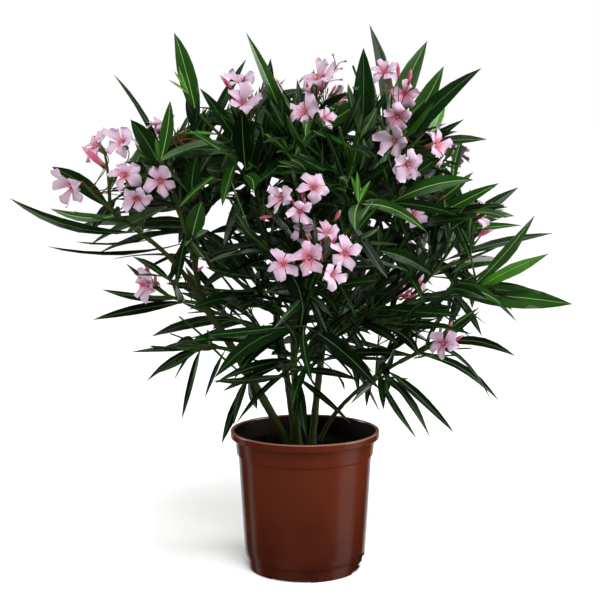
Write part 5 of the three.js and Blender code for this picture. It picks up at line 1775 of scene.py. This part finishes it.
class OLEANDER_OT_blossom(bpy.types.Operator):
    """Makes the open flowers, the buds and their stalks, each kind as one joined mesh"""

    bl_idname = "oleander.blossom"
    bl_label = "Flowers and buds"

    def execute(self, context):
        plant = the_plant()
        finishes = blossom_finishes(context.scene.oleander_blossom)
        flowering = [name for name, mass in plant.masses.items() if mass.blooms]
        blooms = [bloom for name in flowering for bloom in plant.masses[name].blooms]
        flowers, stalks, buds = Gathering(), Gathering(), Gathering()
        for i, bloom in enumerate(blooms):
            tints = FLOWER_TINTS[min(2, int(2.6 * chance(21, i)))]
            spin = 6.283 * chance(22, i)
            axes = frame_towards(bloom.axis, spin)
            flowers.place(flower_form(30 + i), axes, bloom.centre, bloom.size, tints)
            add_stalk(stalks, stalk_curve(bloom), 7, STALK["radius"])
        form = bud_form(5)
        for sprig in bud_sprigs(plant):
            buds.place(form, frame_towards(sprig.axis, sprig.size * 40), sprig.tip, sprig.size)
            add_stalk(stalks, sprig.curve, 6, STALK["radius"] * STALK["bud_share"])
        finished(flowers.piece("open_flowers", finishes, 50), "foliage", *foliage_nodes(flowering))
        finished(buds.piece("flower_buds", finishes, 50), "foliage", *foliage_nodes(flowering))
        wood = context.scene.oleander_wood
        stalk = mottled("flower_stalk", wood.stalk, shaded(wood.stalk, 0.7), 60, 600, (0.5, 0.65), 0.2)
        finished(stalks.piece("flower_stalks", [stalk], 60), "foliage", *foliage_nodes(flowering))
        spent = Gathering()
        add_spent(spent, plant)
        dry = mottled("dry_stalk", wood.spent, shaded(wood.spent, 0.5), 90, 700, (0.7, 0.85), 0.4)
        cup = mottled("dry_cup", shaded(wood.spent, 1.7), wood.spent, 90, 700, (0.7, 0.85), 0.4)
        names = foliage_nodes(row[0] for row in SPENT)
        finished(spent.piece("spent_flower_heads", [dry, cup, dry], 40), "foliage", *names)
        return {"FINISHED"}


class OLEANDER_OT_stage(bpy.types.Operator):
    """Lays the plain floor, sets up the soft studio light and the camera"""

    bl_idname = "oleander.stage"
    bl_label = "Studio"

    def execute(self, context):
        settings = context.scene.oleander_stage
        self.lay_floor(settings)
        self.hang_lights()
        self.light_room(context.scene)
        self.place_camera(context.scene, settings)
        return {"FINISHED"}

    def lay_floor(self, settings):
        deselect()
        bpy.ops.mesh.primitive_circle_add(
            vertices=96, radius=settings.floor_radius, fill_type="NGON", location=(0, 0, -0.0005)
        )
        floor = bpy.context.object
        floor.name = "studio_floor"
        floor.visible_glossy = False
        bpy.ops.object.transform_apply(location=True)
        floor.data.materials.append(
            mottled("floor_paper", settings.floor, shaded(settings.floor, 0.99), 2, 200, (0.85, 0.95), 0.02)
        )

    def hang_lights(self):
        def panel(name, power, size, place, aim, mirrored=True, lit=True):
            bpy.ops.object.light_add(type="AREA", location=place)
            lamp = bpy.context.object
            lamp.name = name
            lamp.data.shape = "RECTANGLE"
            lamp.data.size, lamp.data.size_y = size
            lamp.data.energy = power
            lamp.visible_glossy, lamp.visible_diffuse = mirrored, lit
            lamp.rotation_euler = (Vector(aim) - Vector(place)).to_track_quat("-Z", "Y").to_euler()

        panel("left_panel", 14, (0.5, 1.3), (-1.9, 0.7, 0.7), (0, 0, 0.35))
        panel("right_panel", 38, (1.0, 1.3), (1.8, -0.3, 0.8), (0, 0, 0.35))
        panel("top_panel", 26, (1.7, 1.7), (0.5, -0.8, 2.6), (0, 0, 0.35))
        panel("front_panel", 5, (1.4, 0.9), (-0.5, -2.2, 1.8), (0, 0, 0.4), mirrored=False)
        # These stand lower than the floor, where the gloss of the pot's wall finds them.
        panel("right_strip", 2.4, (1.2, 1.3), (1.8, -0.34, -0.72), (0, 0, 0.1), lit=False)
        panel("left_strip", 0.8, (0.35, 1.3), (-1.8, 0.7, -0.72), (0, 0, 0.1), lit=False)
        panel("back_strip", 9, (3.0, 1.2), (0, 2.2, -0.9), (0, 0, 0.1), lit=False)
        bpy.ops.object.light_add(type="SUN", rotation=(math.radians(38), math.radians(10), 0))
        sun = bpy.context.object
        sun.name = "ceiling_glow"
        sun.data.energy = 2.8
        sun.data.angle = math.radians(36)
        sun.visible_glossy = False

    def light_room(self, scene):
        """An even white room to look at that gives a gentler light and no haze of reflections."""
        world = bpy.data.worlds.new("studio_room")
        world.use_nodes = True
        scene.world = world
        nodes = world.node_tree.nodes
        seen, lit = nodes["Background"], nodes.new("ShaderNodeBackground")
        for light, strength in ((seen, 1), (lit, 0.47)):
            preset(light, Color=(1, 1, 1, 1), Strength=strength)
        ray, mix = add_nodes(nodes, "LightPath", "MixShader")
        join(
            world.node_tree.links,
            (ray, "Is Camera Ray", mix, "Fac"), (lit, "Background", mix, 1), (seen, "Background", mix, 2),
            (mix, "Shader", nodes["World Output"], "Surface"),
        )
        world.cycles_visibility.glossy = False
        scene.view_settings.view_transform = "Standard"

    def place_camera(self, scene, settings):
        place = (settings.aside, -settings.distance, settings.height)
        bpy.ops.object.camera_add(location=place, rotation=(math.pi / 2 - settings.tilt, 0, 0))
        camera = bpy.context.object
        camera.name = "studio_camera"
        camera.data.lens = settings.lens
        camera.data.sensor_width = 36
        camera.data.clip_end = 100
        scene.camera = camera


OPERATORS = [
    OLEANDER_OT_pot, OLEANDER_OT_compost, OLEANDER_OT_limbs, OLEANDER_OT_twigs, OLEANDER_OT_leaves,
    OLEANDER_OT_blossom, OLEANDER_OT_stage,
]
SETTINGS = {
    "oleander_pot": PotSettings, "oleander_wood": WoodSettings, "oleander_leaves": LeafSettings,
    "oleander_blossom": BlossomSettings, "oleander_stage": StageSettings,
}


class OLEANDER_PT_panel(bpy.types.Panel):
    """Lists the pieces and their settings"""

    bl_label = "Potted oleander"
    bl_space_type = "VIEW_3D"
    bl_region_type = "UI"
    bl_category = "Oleander"

    def draw(self, context):
        for operator in OPERATORS:
            self.layout.operator(operator.bl_idname)
        for group, kind in SETTINGS.items():
            box = self.layout.box()
            for name in kind.__annotations__:
                box.prop(getattr(context.scene, group), name)


def register():
    for kind in [*SETTINGS.values(), *OPERATORS, OLEANDER_PT_panel]:
        bpy.utils.register_class(kind)
    for group, kind in SETTINGS.items():
        setattr(bpy.types.Scene, group, bpy.props.PointerProperty(type=kind))


def unregister():
    for group in SETTINGS:
        delattr(bpy.types.Scene, group)
    for kind in reversed([*SETTINGS.values(), *OPERATORS, OLEANDER_PT_panel]):
        bpy.utils.unregister_class(kind)


def main():
    register()
    for operator in OPERATORS:
        _, piece = operator.bl_idname.split(".")
        getattr(bpy.ops.oleander, piece)()
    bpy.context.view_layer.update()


if __name__ == "__main__":
    main()
